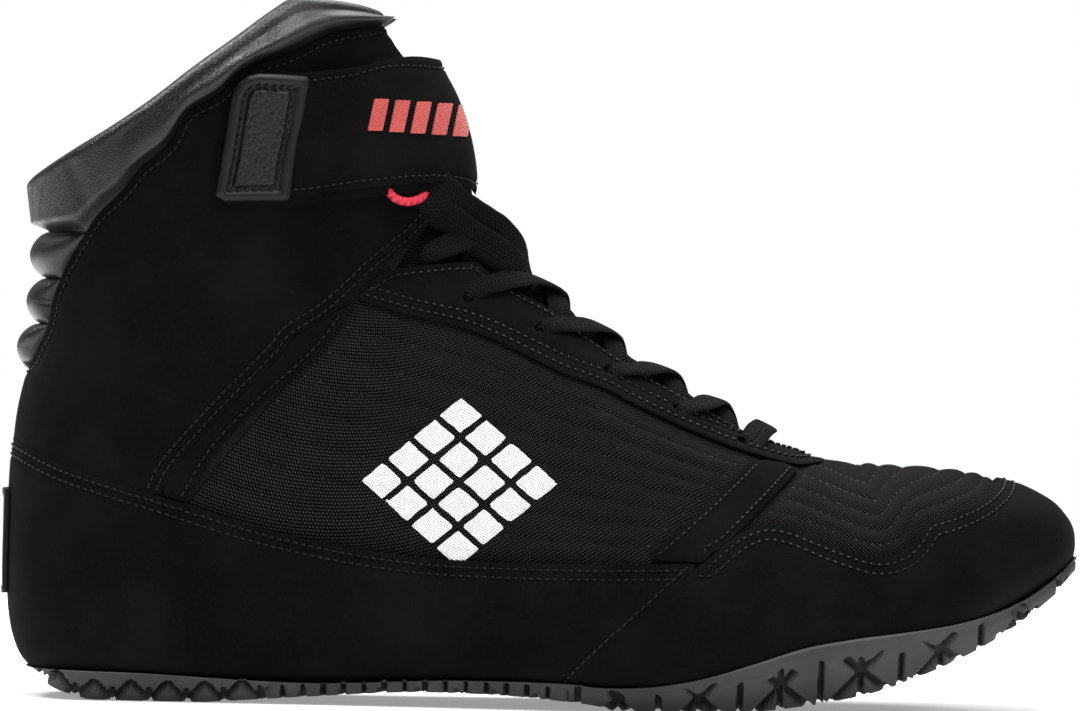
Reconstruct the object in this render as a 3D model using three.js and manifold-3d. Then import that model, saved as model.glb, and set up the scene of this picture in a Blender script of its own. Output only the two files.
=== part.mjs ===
// High-top training shoe, right foot, standing empty and unbent on its sole.
// Millimetres, +Z up, +X towards the toe, +Y towards the inner side of the foot.
// Every layer is an offset of one last, so each layer follows the layer below it.
import * as THREE from 'three';
import { mergeVertices } from 'three/addons/utils/BufferGeometryUtils.js';
import Module from 'manifold-3d';

const wasm = await Module();
wasm.setup();

// Driving dimensions
const LAST_LENGTH = 283;
const LAST_HEIGHT = 183;
const BALL_WIDTH = 100;
const SOLE_BED = 4.7;
const UPPER_WALL = 2;
const PANEL_THICKNESS = 1.1;
const RAND_THICKNESS = 1.5;
const EYESTAY_THICKNESS = 1.3;
const LEATHER_PUFF = 2.4;
const RIB_PUFF = 5.2;
const RIB_COUNT = 3;
const COLLAR_PAD_DEPTH = 5;
const COLLAR_TOP_ROLL = 4;
const TONGUE_THICKNESS = 3.6;
const INSOLE_THICKNESS = 4;
const LASTING_MARGIN_TURN = 34;
const SOLE_LIP = 2.2;
const SOLE_BLANK = 6.5;
const TREAD_DEPTH = 1.5;
const SIDE_LUG_DEPTH = 1.5;
const STRAP_THICKNESS = 1.6;
const PATCH_THICKNESS = 1.2;
const LACE_WIDTH = 7.5;
const LACE_THICKNESS = 1.1;
const THROAT_HALF_WIDTH = 12;
const EYELET_FROM_CREST = 17;
const TONGUE_HALF_WIDTH = 25;
const LABEL_THICKNESS = 1.2;
const LABEL_HALF_WIDTH = 9;
const LOOP_CORD = 2.4;
const CLEARANCE = 0.3;

// Steps in each lower and upper quarter of a section, in each rib and along each lace
const LOW_STEPS = 4;
const HIGH_STEPS = 5;
const RIB_STEPS = 4;
const RIB_COLUMNS = 6;
const LACE_STEPS = 5;

// How far a cutting form runs past the face that it cuts
const CUT_PAST = 4;

// Sections of the last from the toe tip round the heel and up the shaft. Each row holds
// the low end and the top end in side view, as share of length and share of height each,
// the outer edge, inner edge and crest as shares of ball width, the level where it is widest
// from low to top, and the corner exponents below and above that level.
const SECTIONS = [
  [1.000, 0.223, 1.000, 0.223, 0.090, 0.090, 0.09, 0.50, 2.0, 2.0],
  [0.998, 0.204, 0.998, 0.242, 0.000, 0.180, 0.09, 0.50, 2.2, 2.2],
  [0.992, 0.189, 0.992, 0.258, -0.08, 0.250, 0.09, 0.48, 2.3, 2.3],
  [0.978, 0.169, 0.978, 0.279, -0.16, 0.315, 0.09, 0.45, 2.4, 2.3],
  [0.949, 0.136, 0.947, 0.302, -0.26, 0.380, 0.08, 0.42, 2.6, 2.3],
  [0.907, 0.096, 0.905, 0.318, -0.35, 0.430, 0.08, 0.38, 2.9, 2.3],
  [0.861, 0.062, 0.861, 0.325, -0.415, 0.465, 0.07, 0.35, 3.1, 2.3],
  [0.810, 0.033, 0.811, 0.328, -0.46, 0.485, 0.06, 0.33, 3.2, 2.2],
  [0.753, 0.015, 0.755, 0.337, -0.49, 0.490, 0.05, 0.31, 3.4, 2.0],
  [0.696, 0.003, 0.695, 0.377, -0.505, 0.480, 0.04, 0.28, 3.5, 1.85],
  [0.631, 0.000, 0.631, 0.431, -0.50, 0.450, 0.03, 0.25, 3.6, 1.8],
  [0.560, 0.002, 0.564, 0.495, -0.47, 0.405, 0.025, 0.22, 3.9, 1.8],
  [0.483, 0.007, 0.507, 0.562, -0.43, 0.360, 0.02, 0.20, 4.2, 1.85],
  [0.391, 0.010, 0.457, 0.614, -0.385, 0.330, 0.01, 0.20, 4.6, 1.9],
  [0.299, 0.006, 0.434, 0.647, -0.355, 0.330, 0.005, 0.20, 4.6, 2.0],
  [0.204, 0.002, 0.421, 0.676, -0.345, 0.340, 0, 0.20, 4.6, 2.1],
  [0.119, 0.001, 0.413, 0.701, -0.345, 0.345, 0, 0.21, 4.4, 2.2],
  [0.052, 0.004, 0.410, 0.724, -0.345, 0.345, 0, 0.23, 3.8, 2.2],
  [0.020, 0.027, 0.409, 0.749, -0.345, 0.345, 0, 0.26, 3.0, 2.2],
  [0.006, 0.064, 0.406, 0.778, -0.345, 0.345, 0, 0.30, 2.5, 2.2],
  [0.000, 0.122, 0.401, 0.808, -0.345, 0.345, 0, 0.34, 2.3, 2.2],
  [-0.001, 0.209, 0.392, 0.846, -0.345, 0.345, 0, 0.38, 2.2, 2.2],
  [0.000, 0.302, 0.380, 0.881, -0.345, 0.345, 0, 0.42, 2.2, 2.2],
  [0.005, 0.390, 0.371, 0.914, -0.35, 0.350, 0, 0.45, 2.2, 2.2],
  [0.017, 0.472, 0.355, 0.943, -0.355, 0.355, 0, 0.47, 2.2, 2.2],
  [0.027, 0.554, 0.345, 0.966, -0.365, 0.365, 0, 0.48, 2.2, 2.2],
  [0.029, 0.641, 0.336, 0.993, -0.375, 0.375, 0, 0.50, 2.2, 2.2],
  [0.023, 0.728, 0.325, 1.029, -0.38, 0.380, 0, 0.50, 2.2, 2.2],
  [0.016, 0.816, 0.313, 1.067, -0.38, 0.380, 0, 0.50, 2.2, 2.2],
].map(([lowX, lowZ, topX, topZ, out, inn, ridge, level, sole, side]) => (
  { lowX, lowZ, topX, topZ, out, inn, ridge, level, sole, side }
));

// Seams and edges in side view, as [share of length, share of height]
const FEATHER = [
  [-0.04, 0.020], [0.064, 0.019], [0.130, 0.017], [0.225, 0.010], [0.301, 0.008], [0.414, 0.016],
  [0.519, 0.016], [0.557, 0.011], [0.604, 0.014], [0.652, 0.028], [0.699, 0.048], [0.746, 0.068],
  [0.793, 0.079], [0.840, 0.088], [0.888, 0.101], [0.935, 0.127], [0.976, 0.165], [1.006, 0.203],
];
const GROUND = [
  [1.030, 0.190], [1.004, 0.183], [0.988, 0.155], [0.959, 0.119], [0.925, 0.083], [0.880, 0.047],
  [0.819, 0.010], [0.767, -0.009], [0.728, -0.018],
];
const ARCH = [
  [0.565, -0.024], [0.545, -0.016], [0.470, -0.006], [0.380, -0.004], [0.300, -0.012], [0.225, -0.021],
];
const HEEL_BEVEL = [[0.075, -0.0257], [0.045, -0.013], [0.010, 0.005], [-0.04, 0.014]];
const RAND_TOP = [
  [-0.04, 0.372], [-0.005, 0.355], [0.050, 0.316], [0.099, 0.292], [0.148, 0.270], [0.194, 0.248],
  [0.247, 0.226], [0.312, 0.206], [0.377, 0.193], [0.443, 0.188], [0.547, 0.187], [0.640, 0.190],
];
const TOE_SEAM = [[0.505, -0.03], [0.526, 0.017], [0.565, 0.071], [0.613, 0.139], [0.645, 0.186]];
const TOE_RAND = [
  [0.652, 0.194], [0.680, 0.230], [0.706, 0.245], [0.732, 0.240], [0.775, 0.216], [0.811, 0.202],
  [0.835, 0.211], [0.849, 0.231], [0.859, 0.252], [0.879, 0.262], [0.905, 0.278], [0.924, 0.297],
  [0.933, 0.318], [0.936, 0.350],
];
const STRIP_REAR = [[0.712, 0.360], [0.695, 0.337], [0.640, 0.258], [0.594, 0.196]];
const STRIP_FRONT = [[0.657, 0.206], [0.674, 0.224], [0.738, 0.322], [0.748, 0.345]];
const EYESTAY_LOW = [
  [0.322, 0.562], [0.373, 0.540], [0.418, 0.524], [0.451, 0.505], [0.484, 0.481], [0.516, 0.458],
  [0.552, 0.438], [0.576, 0.419], [0.600, 0.401], [0.625, 0.384], [0.649, 0.369], [0.673, 0.355],
  [0.698, 0.343], [0.734, 0.329], [0.762, 0.331],
];
const EYESTAY_TOP = [[0.330, 0.585], [0.356, 0.606], [0.405, 0.615], [0.447, 0.614], [0.488, 0.608]];
const ANKLE_FRONT = [
  [0.440, 0.740], [0.396, 0.706], [0.388, 0.678], [0.372, 0.647], [0.340, 0.605], [0.324, 0.580],
  [0.295, 0.538], [0.263, 0.505], [0.250, 0.478], [0.196, 0.389], [0.154, 0.312], [0.143, 0.276],
];
const LEG_FRONT = [[0.321, 0.560], [0.286, 0.483], [0.232, 0.405], [0.193, 0.339], [0.166, 0.266]];
const CUFF_SEAM = [
  [0.420, 0.915], [0.350, 0.956], [0.319, 0.954], [0.287, 0.943], [0.255, 0.916], [0.213, 0.889],
  [0.190, 0.854], [0.161, 0.827], [0.145, 0.781], [0.119, 0.746],
];
const HEEL_PAD_EDGE = [
  [0.104, 0.715], [0.078, 0.674], [0.062, 0.633], [0.049, 0.597], [0.039, 0.556], [0.034, 0.516],
  [0.025, 0.485], [0.011, 0.455], [-0.04, 0.440],
];
const COLLAR_EDGE = [
  [-0.04, 0.690], [0.000, 0.706], [0.023, 0.737], [0.055, 0.772], [0.092, 0.809], [0.130, 0.851],
  [0.167, 0.897], [0.205, 0.940], [0.242, 0.983], [0.263, 0.999], [0.318, 0.992], [0.347, 0.972],
  [0.420, 0.930],
];
const STRAP_TOP = [
  [0.205, 0.860], [0.219, 0.882], [0.268, 0.891], [0.353, 0.903], [0.385, 0.900], [0.440, 0.885],
];
const STRAP_LOW = [
  [0.460, 0.700], [0.434, 0.703], [0.420, 0.716], [0.387, 0.731], [0.339, 0.727], [0.262, 0.712],
  [0.205, 0.716], [0.190, 0.730],
];
const PATCH = [
  [0.180, 0.752], [0.190, 0.732], [0.206, 0.722], [0.255, 0.726], [0.272, 0.880], [0.221, 0.876],
  [0.203, 0.852],
];
const LABEL = [[-0.05, 0.125], [0.08, 0.125], [0.08, 0.276], [-0.05, 0.276]];
const NOTCH_FRONT = [[0.56, 0.60], [0.56, 0.76], [0.44, 0.76]];
// Rows of eyelets up the throat, as places along the last
const LACE_ROWS = [0.319, 0.350, 0.386, 0.426, 0.470, 0.570];

const mm = ([along, up]) => [along * LAST_LENGTH, up * LAST_HEIGHT];
const mix = (a, b, f) => a + (b - a) * f;
const clamp = (x, lo, hi) => Math.min(hi, Math.max(lo, x));
const smooth = (a, b, x) => {
  const f = clamp((x - a) / (b - a), 0, 1);
  return f * f * (3 - 2 * f);
};

// One section at v from 0 at the toe tip to 1 above the collar
function section(v) {
  const place = clamp(v, 0, 1) * (SECTIONS.length - 1);
  const i = Math.min(Math.floor(place), SECTIONS.length - 2);
  const f = place - i;
  const rows = [i - 1, i, i + 1, i + 2].map((k) => SECTIONS[clamp(k, 0, SECTIONS.length - 1)]);
  const blend = (read) => {
    const [a, b, c, d] = rows.map(read);
    const bend = (2 * a - 5 * b + 4 * c - d) * f * f + (3 * b - a - 3 * c + d) * f * f * f;
    return 0.5 * (2 * b + (c - a) * f + bend);
  };
  return {
    lowX: blend((r) => r.lowX) * LAST_LENGTH,
    lowZ: blend((r) => r.lowZ) * LAST_HEIGHT,
    topX: blend((r) => r.topX) * LAST_LENGTH,
    topZ: blend((r) => r.topZ) * LAST_HEIGHT,
    out: blend((r) => r.out) * BALL_WIDTH,
    inn: blend((r) => r.inn) * BALL_WIDTH,
    ridge: blend((r) => r.ridge) * BALL_WIDTH,
    level: blend((r) => r.level),
    sole: blend((r) => r.sole),
    side: blend((r) => r.side),
  };
}

// A point of the last. turn is 0 at the low end, 90 at the outer edge, 180 at the top end,
// 270 at the inner edge and 360 at the low end again.
function lastPoint(v, turn) {
  const s = section(v);
  const inner = turn > 180;
  const half = inner ? 360 - turn : turn;
  const low = half <= 90;
  const angle = THREE.MathUtils.degToRad(low ? half : 180 - half);
  const power = 2 / (low ? s.sole : s.side);
  const across = Math.max(Math.sin(angle), 0) ** power;
  const drop = Math.max(Math.cos(angle), 0) ** power;
  const along = low ? s.level * (1 - drop) : 1 - (1 - s.level) * (1 - drop);
  const middle = low ? (s.out + s.inn) / 2 : s.ridge;
  const edge = inner ? s.inn : s.out;
  return new THREE.Vector3(
    mix(s.lowX, s.topX, along),
    middle + (edge - middle) * across,
    mix(s.lowZ, s.topZ, along),
  );
}

const wrap = (turn) => ((turn % 360) + 360) % 360;

function lastNormal(v, turn) {
  const dv = 0.004;
  const dt = 2;
  const alongV = lastPoint(v + dv, turn).sub(lastPoint(v - dv, turn));
  const alongT = lastPoint(v, wrap(turn + dt)).sub(lastPoint(v, wrap(turn - dt)));
  return alongT.cross(alongV).normalize();
}

const skin = (v, turn, offset) => lastPoint(v, turn).addScaledVector(lastNormal(v, turn), offset);

const TURNS = [];
for (let k = 0; k < LOW_STEPS; k += 1) TURNS.push((90 * k) / LOW_STEPS);
for (let k = 0; k < 2 * HIGH_STEPS; k += 1) TURNS.push(90 + (90 * k) / HIGH_STEPS);
for (let k = 0; k < LOW_STEPS; k += 1) TURNS.push(270 + (90 * k) / LOW_STEPS);

function toManifold(geometry) {
  const bare = geometry.clone();
  bare.deleteAttribute('normal');
  bare.deleteAttribute('uv');
  const merged = mergeVertices(bare, 1e-4);
  return new wasm.Manifold(new wasm.Mesh({
    numProp: 3,
    vertProperties: new Float32Array(merged.attributes.position.array),
    triVerts: new Uint32Array(merged.index.array),
  }));
}

function solidFrom(points, triangles) {
  const geometry = new THREE.BufferGeometry();
  const numbers = points.flatMap((p) => [p.x, p.y, p.z]);
  geometry.setAttribute('position', new THREE.Float32BufferAttribute(numbers, 3));
  geometry.setIndex(triangles.flat());
  return toManifold(geometry);
}

// The same, with its faces turned outwards
function turnedOut(points, triangles) {
  const solid = solidFrom(points, triangles);
  return solid.volume() > 0 ? solid : solidFrom(points, triangles.map(([a, b, c]) => [a, c, b]));
}

// A ring at each section, except on even stretches and at the pole
const EVEN_ROWS = [0, 2, 19, 21, 23, 25, 27];
const RING_PLACES = SECTIONS.map((_, row) => row).filter((row) => !EVEN_ROWS.includes(row))
  .map((row) => row / (SECTIONS.length - 1));

// The last grown by offset, a number or a function of v and turn, with a ring at each place
function form(offset, places = RING_PLACES) {
  const grow = typeof offset === 'function' ? offset : () => offset;
  const around = TURNS.length;
  const last = places.length;
  const points = [lastPoint(0, 0).add(new THREE.Vector3(grow(0, 0), 0, 0))];
  const triangles = [];
  for (const v of places) {
    for (const turn of TURNS) points.push(skin(v, turn, grow(v, turn)));
  }
  const at = (r, k) => 1 + (r - 1) * around + (k % around);
  for (let k = 0; k < around; k += 1) {
    triangles.push([0, at(1, k + 1), at(1, k)]);
    for (let r = 1; r < last; r += 1) {
      triangles.push([at(r, k), at(r + 1, k + 1), at(r + 1, k)]);
      triangles.push([at(r, k), at(r, k + 1), at(r + 1, k + 1)]);
    }
  }
  const top = points.length;
  const middle = new THREE.Vector3();
  for (let k = 0; k < around; k += 1) middle.addScaledVector(points[at(last, k)], 1 / around);
  points.push(middle);
  for (let k = 0; k < around; k += 1) triangles.push([top, at(last, k), at(last, k + 1)]);
  return solidFrom(points, triangles);
}

const shell = (outer, inner) => form(outer).subtract(form(inner));

// A side-view outline run across the shoe from y0 to y1
function prism(outline, y0 = -BALL_WIDTH, y1 = BALL_WIDTH) {
  const shape = new THREE.Shape(outline.map(([x, z]) => new THREE.Vector2(x, z)));
  const geometry = new THREE.ExtrudeGeometry(shape, { depth: y1 - y0, bevelEnabled: false, steps: 1 });
  geometry.rotateX(Math.PI / 2);
  geometry.translate(0, y1, 0);
  return toManifold(geometry);
}

const curve = (shares, perSpan = 1) => new THREE.SplineCurve(shares.map((p) => new THREE.Vector2(...mm(p))))
  .getPoints(perSpan * (shares.length - 1)).map((p) => [p.x, p.y]);
const shifted = (line, dx, dz) => line.map(([x, z]) => [x + dx, z + dz]);
const reversed = (line) => [...line].reverse();
const corner = (along, up) => mm([along, up]);

// A piece of the last's skin between two offsets, over v from v0 to v1
// and turn from side(v)[0] to side(v)[1]
function skinPatch({ v0, v1, side, inner, outer, steps = 12, across = 2, ease = 1 }) {
  const points = [];
  const triangles = [];
  const width = across + 1;
  const layer = (steps + 1) * width;
  for (const offset of [inner, outer]) {
    for (let i = 0; i <= steps; i += 1) {
      const v = mix(v0, v1, (i / steps) ** ease);
      const [a, b] = side(v);
      for (let j = 0; j <= across; j += 1) points.push(skin(v, wrap(mix(a, b, j / across)), offset));
    }
  }
  const at = (l, i, j) => l * layer + i * width + j;
  const quad = (a, b, c, d) => triangles.push([a, b, c], [a, c, d]);
  for (let i = 0; i < steps; i += 1) {
    for (let j = 0; j < across; j += 1) {
      quad(at(1, i, j), at(1, i, j + 1), at(1, i + 1, j + 1), at(1, i + 1, j));
      quad(at(0, i, j), at(0, i + 1, j), at(0, i + 1, j + 1), at(0, i, j + 1));
    }
    quad(at(0, i, 0), at(1, i, 0), at(1, i + 1, 0), at(0, i + 1, 0));
    quad(at(0, i + 1, across), at(1, i + 1, across), at(1, i, across), at(0, i, across));
  }
  for (let j = 0; j < across; j += 1) {
    quad(at(0, 0, j), at(0, 0, j + 1), at(1, 0, j + 1), at(1, 0, j));
    quad(at(0, steps, j + 1), at(0, steps, j), at(1, steps, j), at(1, steps, j + 1));
  }
  return solidFrom(points, triangles);
}

// Turns of the two lines that run half a width to each side of the crest
function besideCrest(v, half) {
  const s = section(v);
  const turnTo = (edge) => {
    const share = clamp(half / Math.abs(edge - s.ridge), 0, 0.98);
    return THREE.MathUtils.radToDeg(Math.asin(share ** (s.side / 2)));
  };
  return [180 - turnTo(s.out), 180 + turnTo(s.inn)];
}

// Places of the throat, the tongue and the lasting margin along the last
const THROAT_START = 0.298;
const THROAT_ROUNDING = 0.03;
const TONGUE_START = 0.275;
const TONGUE_END = 0.985;
const MARGIN_START = 0.14;
const MARGIN_END = 0.585;
const MARGIN_OVERLAP = 0.8;

const collarLine = curve(COLLAR_EDGE);
const featherLine = curve(FEATHER);
const randTop = curve(RAND_TOP);
const toeSeam = curve(TOE_SEAM);
const ankleFront = curve(ANKLE_FRONT);
const legFront = curve(LEG_FRONT);
const eyestayLow = curve(EYESTAY_LOW);
const cuffSeam = curve([...CUFF_SEAM, ...HEEL_PAD_EDGE]);
const between = (line, low, high) => line.filter(([x]) => x >= low * LAST_LENGTH && x <= high * LAST_LENGTH);
const higher = (line, share) => line.filter(([, z]) => z > share * LAST_HEIGHT);

// Outline of all that lies above a collar line
const above = (line) => [
  ...line,
  corner(0.6, 0.91),
  corner(0.6, 1.3),
  corner(-0.1, 1.3),
  corner(-0.1, 0.7),
];

const aboveWall = prism(above(shifted(collarLine, 0, -COLLAR_TOP_ROLL)));
const throatHalf = (v) => (
  THROAT_HALF_WIDTH * Math.sqrt(clamp((v - THROAT_START) / THROAT_ROUNDING, 0.08, 1))
);
const throat = skinPatch({
  v0: THROAT_START,
  v1: 1,
  side: (v) => besideCrest(v, throatHalf(v)),
  inner: -UPPER_WALL - CUT_PAST,
  outer: STRAP_THICKNESS + 2 * CUT_PAST,
  steps: 12,
  ease: 1.8,
});
const notch = prism([
  ...EYESTAY_TOP.slice(1).map(mm),
  ...NOTCH_FRONT.map(mm),
  ...ANKLE_FRONT.slice(0, 4).map(mm),
]);
const underfoot = skinPatch({
  v0: MARGIN_START,
  v1: MARGIN_END,
  side: () => [-LASTING_MARGIN_TURN, LASTING_MARGIN_TURN],
  inner: -UPPER_WALL - MARGIN_OVERLAP,
  outer: MARGIN_OVERLAP,
  steps: 8,
});

// Cuts can leave crumbs at a seam, so a piece keeps its largest body
const mainBody = (solid) => solid.decompose().sort((a, b) => b.volume() - a.volume())[0];

const wallOuter = form(0);
const wallInner = form(-UPPER_WALL);
const cavity = form(-UPPER_WALL - CLEARANCE);

function makeUpper() {
  return mainBody(
    wallOuter.subtract(wallInner).subtract(aboveWall).subtract(throat).subtract(notch).subtract(underfoot),
  );
}

// Side-view places just behind the heel and ahead of the toe, and the foot of the rand's seam
const HEEL_SIDE = -0.04;
const TOE_SIDE = 1.06;
const RAND_FOOT = 0.02;

const overlaySkin = (thickness) => shell(CLEARANCE + thickness, CLEARANCE);
const seamGap = CLEARANCE / 2;
const LACE_LIFT = EYESTAY_THICKNESS + 2.2 * CLEARANCE;
const PANEL_TOP = CLEARANCE + PANEL_THICKNESS;

function makeRearRand() {
  const outline = [
    ...shifted(randTop, 0, -seamGap),
    ...higher(shifted(reversed(toeSeam), -seamGap, 0), RAND_FOOT),
    ...shifted(reversed(between(featherLine, HEEL_SIDE, 0.52)), 0, CLEARANCE),
  ];
  return overlaySkin(RAND_THICKNESS).intersect(prism(outline));
}

function makeToeRand() {
  const outline = [
    ...shifted(curve(TOE_RAND), 0, -seamGap),
    corner(TOE_SIDE, 0.35),
    corner(TOE_SIDE, 0.22),
    ...shifted(reversed(between(featherLine, 0.53, TOE_SIDE)), 0, CLEARANCE),
    ...higher(shifted(toeSeam, seamGap, 0), RAND_FOOT),
  ];
  return overlaySkin(RAND_THICKNESS).intersect(prism(outline));
}

function makeAnklePanel() {
  const outline = [
    ...shifted(cuffSeam, 0, -seamGap),
    ...shifted(between(randTop, HEEL_SIDE, 0.14), 0, seamGap),
    ...shifted(reversed(ankleFront), -seamGap, 0),
    corner(0.52, 0.745),
    corner(0.52, 0.912),
  ];
  return overlaySkin(PANEL_THICKNESS).intersect(prism(outline)).subtract(throat).subtract(notch);
}

function makeFlankStrip(y0, y1) {
  const outline = [
    ...shifted(ankleFront.slice(6), seamGap, 0),
    ...shifted(between(randTop, 0.146, 0.165), 0, seamGap),
    ...reversed(legFront),
  ];
  return overlaySkin(PANEL_THICKNESS).intersect(prism(outline, y0, y1));
}

function makeVampStrip(y0, y1) {
  const outline = [
    ...STRIP_REAR.slice(1).map(mm),
    corner(0.650, 0.193),
    ...STRIP_FRONT.slice(0, 3).map(mm),
    corner(0.724, 0.330),
  ];
  const seated = shifted(outline, 0, seamGap + CLEARANCE);
  return overlaySkin(PANEL_THICKNESS).intersect(prism(seated, y0, y1));
}

function makeEyestay() {
  const outline = [
    ...shifted(eyestayLow, 0, 2 * CLEARANCE),
    corner(0.774, 0.345),
    corner(0.774, 0.45),
    corner(0.60, 0.62),
    ...reversed(EYESTAY_TOP).map(mm),
  ];
  return overlaySkin(EYESTAY_THICKNESS).intersect(prism(outline)).subtract(throat);
}

// Heights of the seam under the collar and of the lowest rib's foot, as shares of height
const RIB_HIGH = 0.652;
const RIB_LOW = 0.450;
const RIB_REACH_TURN = 64;

// Where the swell behind the heel cord ends and the collar's even padding begins
const CORD_REACH = [0.06, 0.25];

// The padded collar swells more behind the heel cord
const collarPuff = (v, turn) => {
  const behind = 1 - smooth(...CORD_REACH, lastPoint(v, turn).x / LAST_LENGTH);
  return mix(LEATHER_PUFF, RIB_PUFF, behind);
};

function makeCollarPad() {
  const seam = RIB_HIGH * LAST_HEIGHT + seamGap;
  const outline = [
    ...collarLine,
    ...shifted(cuffSeam, 0, seamGap).filter(([, z]) => z > seam),
    [CORD_REACH[0] * LAST_LENGTH, seam],
    [HEEL_SIDE * LAST_LENGTH, seam],
  ];
  const insideTongue = skinPatch({
    v0: 0.6,
    v1: 1,
    side: (v) => besideCrest(v, TONGUE_HALF_WIDTH + UPPER_WALL),
    inner: -COLLAR_PAD_DEPTH - 2 * CUT_PAST,
    outer: -UPPER_WALL + 3 * CLEARANCE,
    across: 8,
  });
  const wallSlot = shell(CLEARANCE, -UPPER_WALL - CLEARANCE)
    .subtract(prism(above(shifted(collarLine, 0, CLEARANCE - COLLAR_TOP_ROLL))));
  const pad = form(collarPuff).subtract(form(-COLLAR_PAD_DEPTH))
    .intersect(prism(outline)).subtract(wallSlot).subtract(throat).subtract(insideTongue);
  return mainBody(pad);
}

// The place along the last where a turn line reaches a height behind the heel
function placeAtHeight(turn, z) {
  let low = 0.62;
  let high = 1;
  for (let pass = 0; pass < 24; pass += 1) {
    const v = (low + high) / 2;
    if (lastPoint(v, turn).z < z) low = v;
    else high = v;
  }
  return low;
}

// Level padded ribs behind the heel cord
function makeHeelRibs() {
  const rows = RIB_COUNT * RIB_STEPS;
  const columns = RIB_COLUMNS;
  const points = [];
  const triangles = [];
  const width = columns + 1;
  const layer = (rows + 1) * width;
  for (const outside of [false, true]) {
    for (let i = 0; i <= rows; i += 1) {
      const z = mix(RIB_LOW, RIB_HIGH, i / rows) * LAST_HEIGHT - (i === rows ? seamGap : 0);
      const swell = Math.sin((Math.PI * (i % RIB_STEPS)) / RIB_STEPS);
      const offset = outside ? mix(PANEL_TOP, RIB_PUFF, swell) : CLEARANCE;
      for (let j = 0; j <= columns; j += 1) {
        const turn = wrap(mix(-RIB_REACH_TURN, RIB_REACH_TURN, j / columns));
        const v = placeAtHeight(turn, z);
        const flat = skin(v, turn, offset);
        points.push(new THREE.Vector3(flat.x, flat.y, z));
      }
    }
  }
  const at = (l, i, j) => l * layer + i * width + j;
  const quad = (a, b, c, d) => triangles.push([a, b, c], [a, c, d]);
  for (let i = 0; i < rows; i += 1) {
    for (let j = 0; j < columns; j += 1) {
      quad(at(1, i, j), at(1, i + 1, j), at(1, i + 1, j + 1), at(1, i, j + 1));
      quad(at(0, i, j), at(0, i, j + 1), at(0, i + 1, j + 1), at(0, i + 1, j));
    }
    quad(at(0, i, 0), at(0, i + 1, 0), at(1, i + 1, 0), at(1, i, 0));
    quad(at(0, i + 1, columns), at(0, i, columns), at(1, i, columns), at(1, i + 1, columns));
  }
  for (let j = 0; j < columns; j += 1) {
    quad(at(0, 0, j + 1), at(0, 0, j), at(1, 0, j), at(1, 0, j + 1));
    quad(at(0, rows, j), at(0, rows, j + 1), at(1, rows, j + 1), at(1, rows, j));
  }
  const ribs = turnedOut(points, triangles);
  const outline = [
    corner(2 * HEEL_SIDE, 0.42),
    corner(2 * HEEL_SIDE, 0.70),
    ...shifted(cuffSeam, 0, seamGap).filter(([, z]) => z < 0.70 * LAST_HEIGHT),
  ];
  return mainBody(ribs.intersect(prism(outline)).subtract(form(CLEARANCE)));
}

function makeTongue() {
  const reach = skinPatch({
    v0: TONGUE_START,
    v1: TONGUE_END,
    side: (v) => besideCrest(v, TONGUE_HALF_WIDTH),
    inner: -UPPER_WALL - TONGUE_THICKNESS - CUT_PAST,
    outer: CUT_PAST,
    steps: 11,
    across: 4,
  });
  return cavity.subtract(form(-UPPER_WALL - CLEARANCE - TONGUE_THICKNESS)).intersect(reach)
    .subtract(prism(above(shifted(collarLine, 0, -TONGUE_THICKNESS))));
}

// The footbed follows the low edge of the sections, from under the toes to the heel cup
const FOOTBED = [0.07, 0.625];

function makeInsole() {
  const top = [];
  const low = [];
  const steps = 11;
  for (let i = 0; i <= steps; i += 1) {
    const s = section(mix(...FOOTBED, i / steps));
    top.push([s.lowX, s.lowZ + UPPER_WALL + CLEARANCE + INSOLE_THICKNESS]);
    low.push([s.lowX, s.lowZ - SOLE_BED]);
  }
  const bed = prism([...top, ...reversed(low)]);
  const plug = skinPatch({
    v0: MARGIN_START + 0.006,
    v1: MARGIN_END - 0.006,
    side: () => [1 - LASTING_MARGIN_TURN, LASTING_MARGIN_TURN - 1],
    inner: -UPPER_WALL - MARGIN_OVERLAP,
    outer: 0,
    steps: 8,
  }).intersect(wallOuter);
  return cavity.intersect(bed).add(plug);
}

// The sole is thick underfoot and thins to a lip at its edge, over these places and turns
const SOLE_TOE = [0.02, 0.12];
const SOLE_HEEL = [0.585, 0.635];
const SOLE_EDGE = [25, 58];

const fromLow = (turn) => (turn > 180 ? 360 - turn : turn);

function soleOffset(v, turn) {
  const underfoot = smooth(...SOLE_TOE, v) * (1 - smooth(...SOLE_HEEL, v));
  return mix(SOLE_LIP, SOLE_BLANK, underfoot * (1 - smooth(...SOLE_EDGE, fromLow(turn))));
}

const FLAT_FOREFOOT = [0.692, 0.572];
const FLAT_HEEL = [0.185, 0.090];

function soleOutline() {
  const floor = (along) => [along * LAST_LENGTH, -SOLE_BED];
  return [
    ...featherLine,
    ...curve(GROUND),
    ...FLAT_FOREFOOT.map(floor),
    ...curve(ARCH),
    ...FLAT_HEEL.map(floor),
    ...curve(HEEL_BEVEL),
  ];
}

const SIDE_LUG_PITCH = 13;
const SIDE_LUG_WIDTH = 4;
const SIDE_LUG_TIP = 1.2;
const SIDE_LUG_RISE = 0.62;
const TREAD_SLOT = 2.6;
const TREAD_START = 0.055;
const TREAD_END = 0.975;

function groundAt(x) {
  const line = soleOutline().slice(featherLine.length);
  for (let i = 0; i + 1 < line.length; i += 1) {
    const [x1, z1] = line[i];
    const [x0, z0] = line[i + 1];
    if (x <= x1 && x >= x0) return mix(z0, z1, (x - x0) / (x1 - x0 || 1));
  }
  return -SOLE_BED;
}

function featherAt(x) {
  for (let i = 0; i + 1 < featherLine.length; i += 1) {
    const [x0, z0] = featherLine[i];
    const [x1, z1] = featherLine[i + 1];
    if (x >= x0 && x <= x1) return mix(z0, z1, (x - x0) / (x1 - x0 || 1));
  }
  return SOLE_BED;
}

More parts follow.
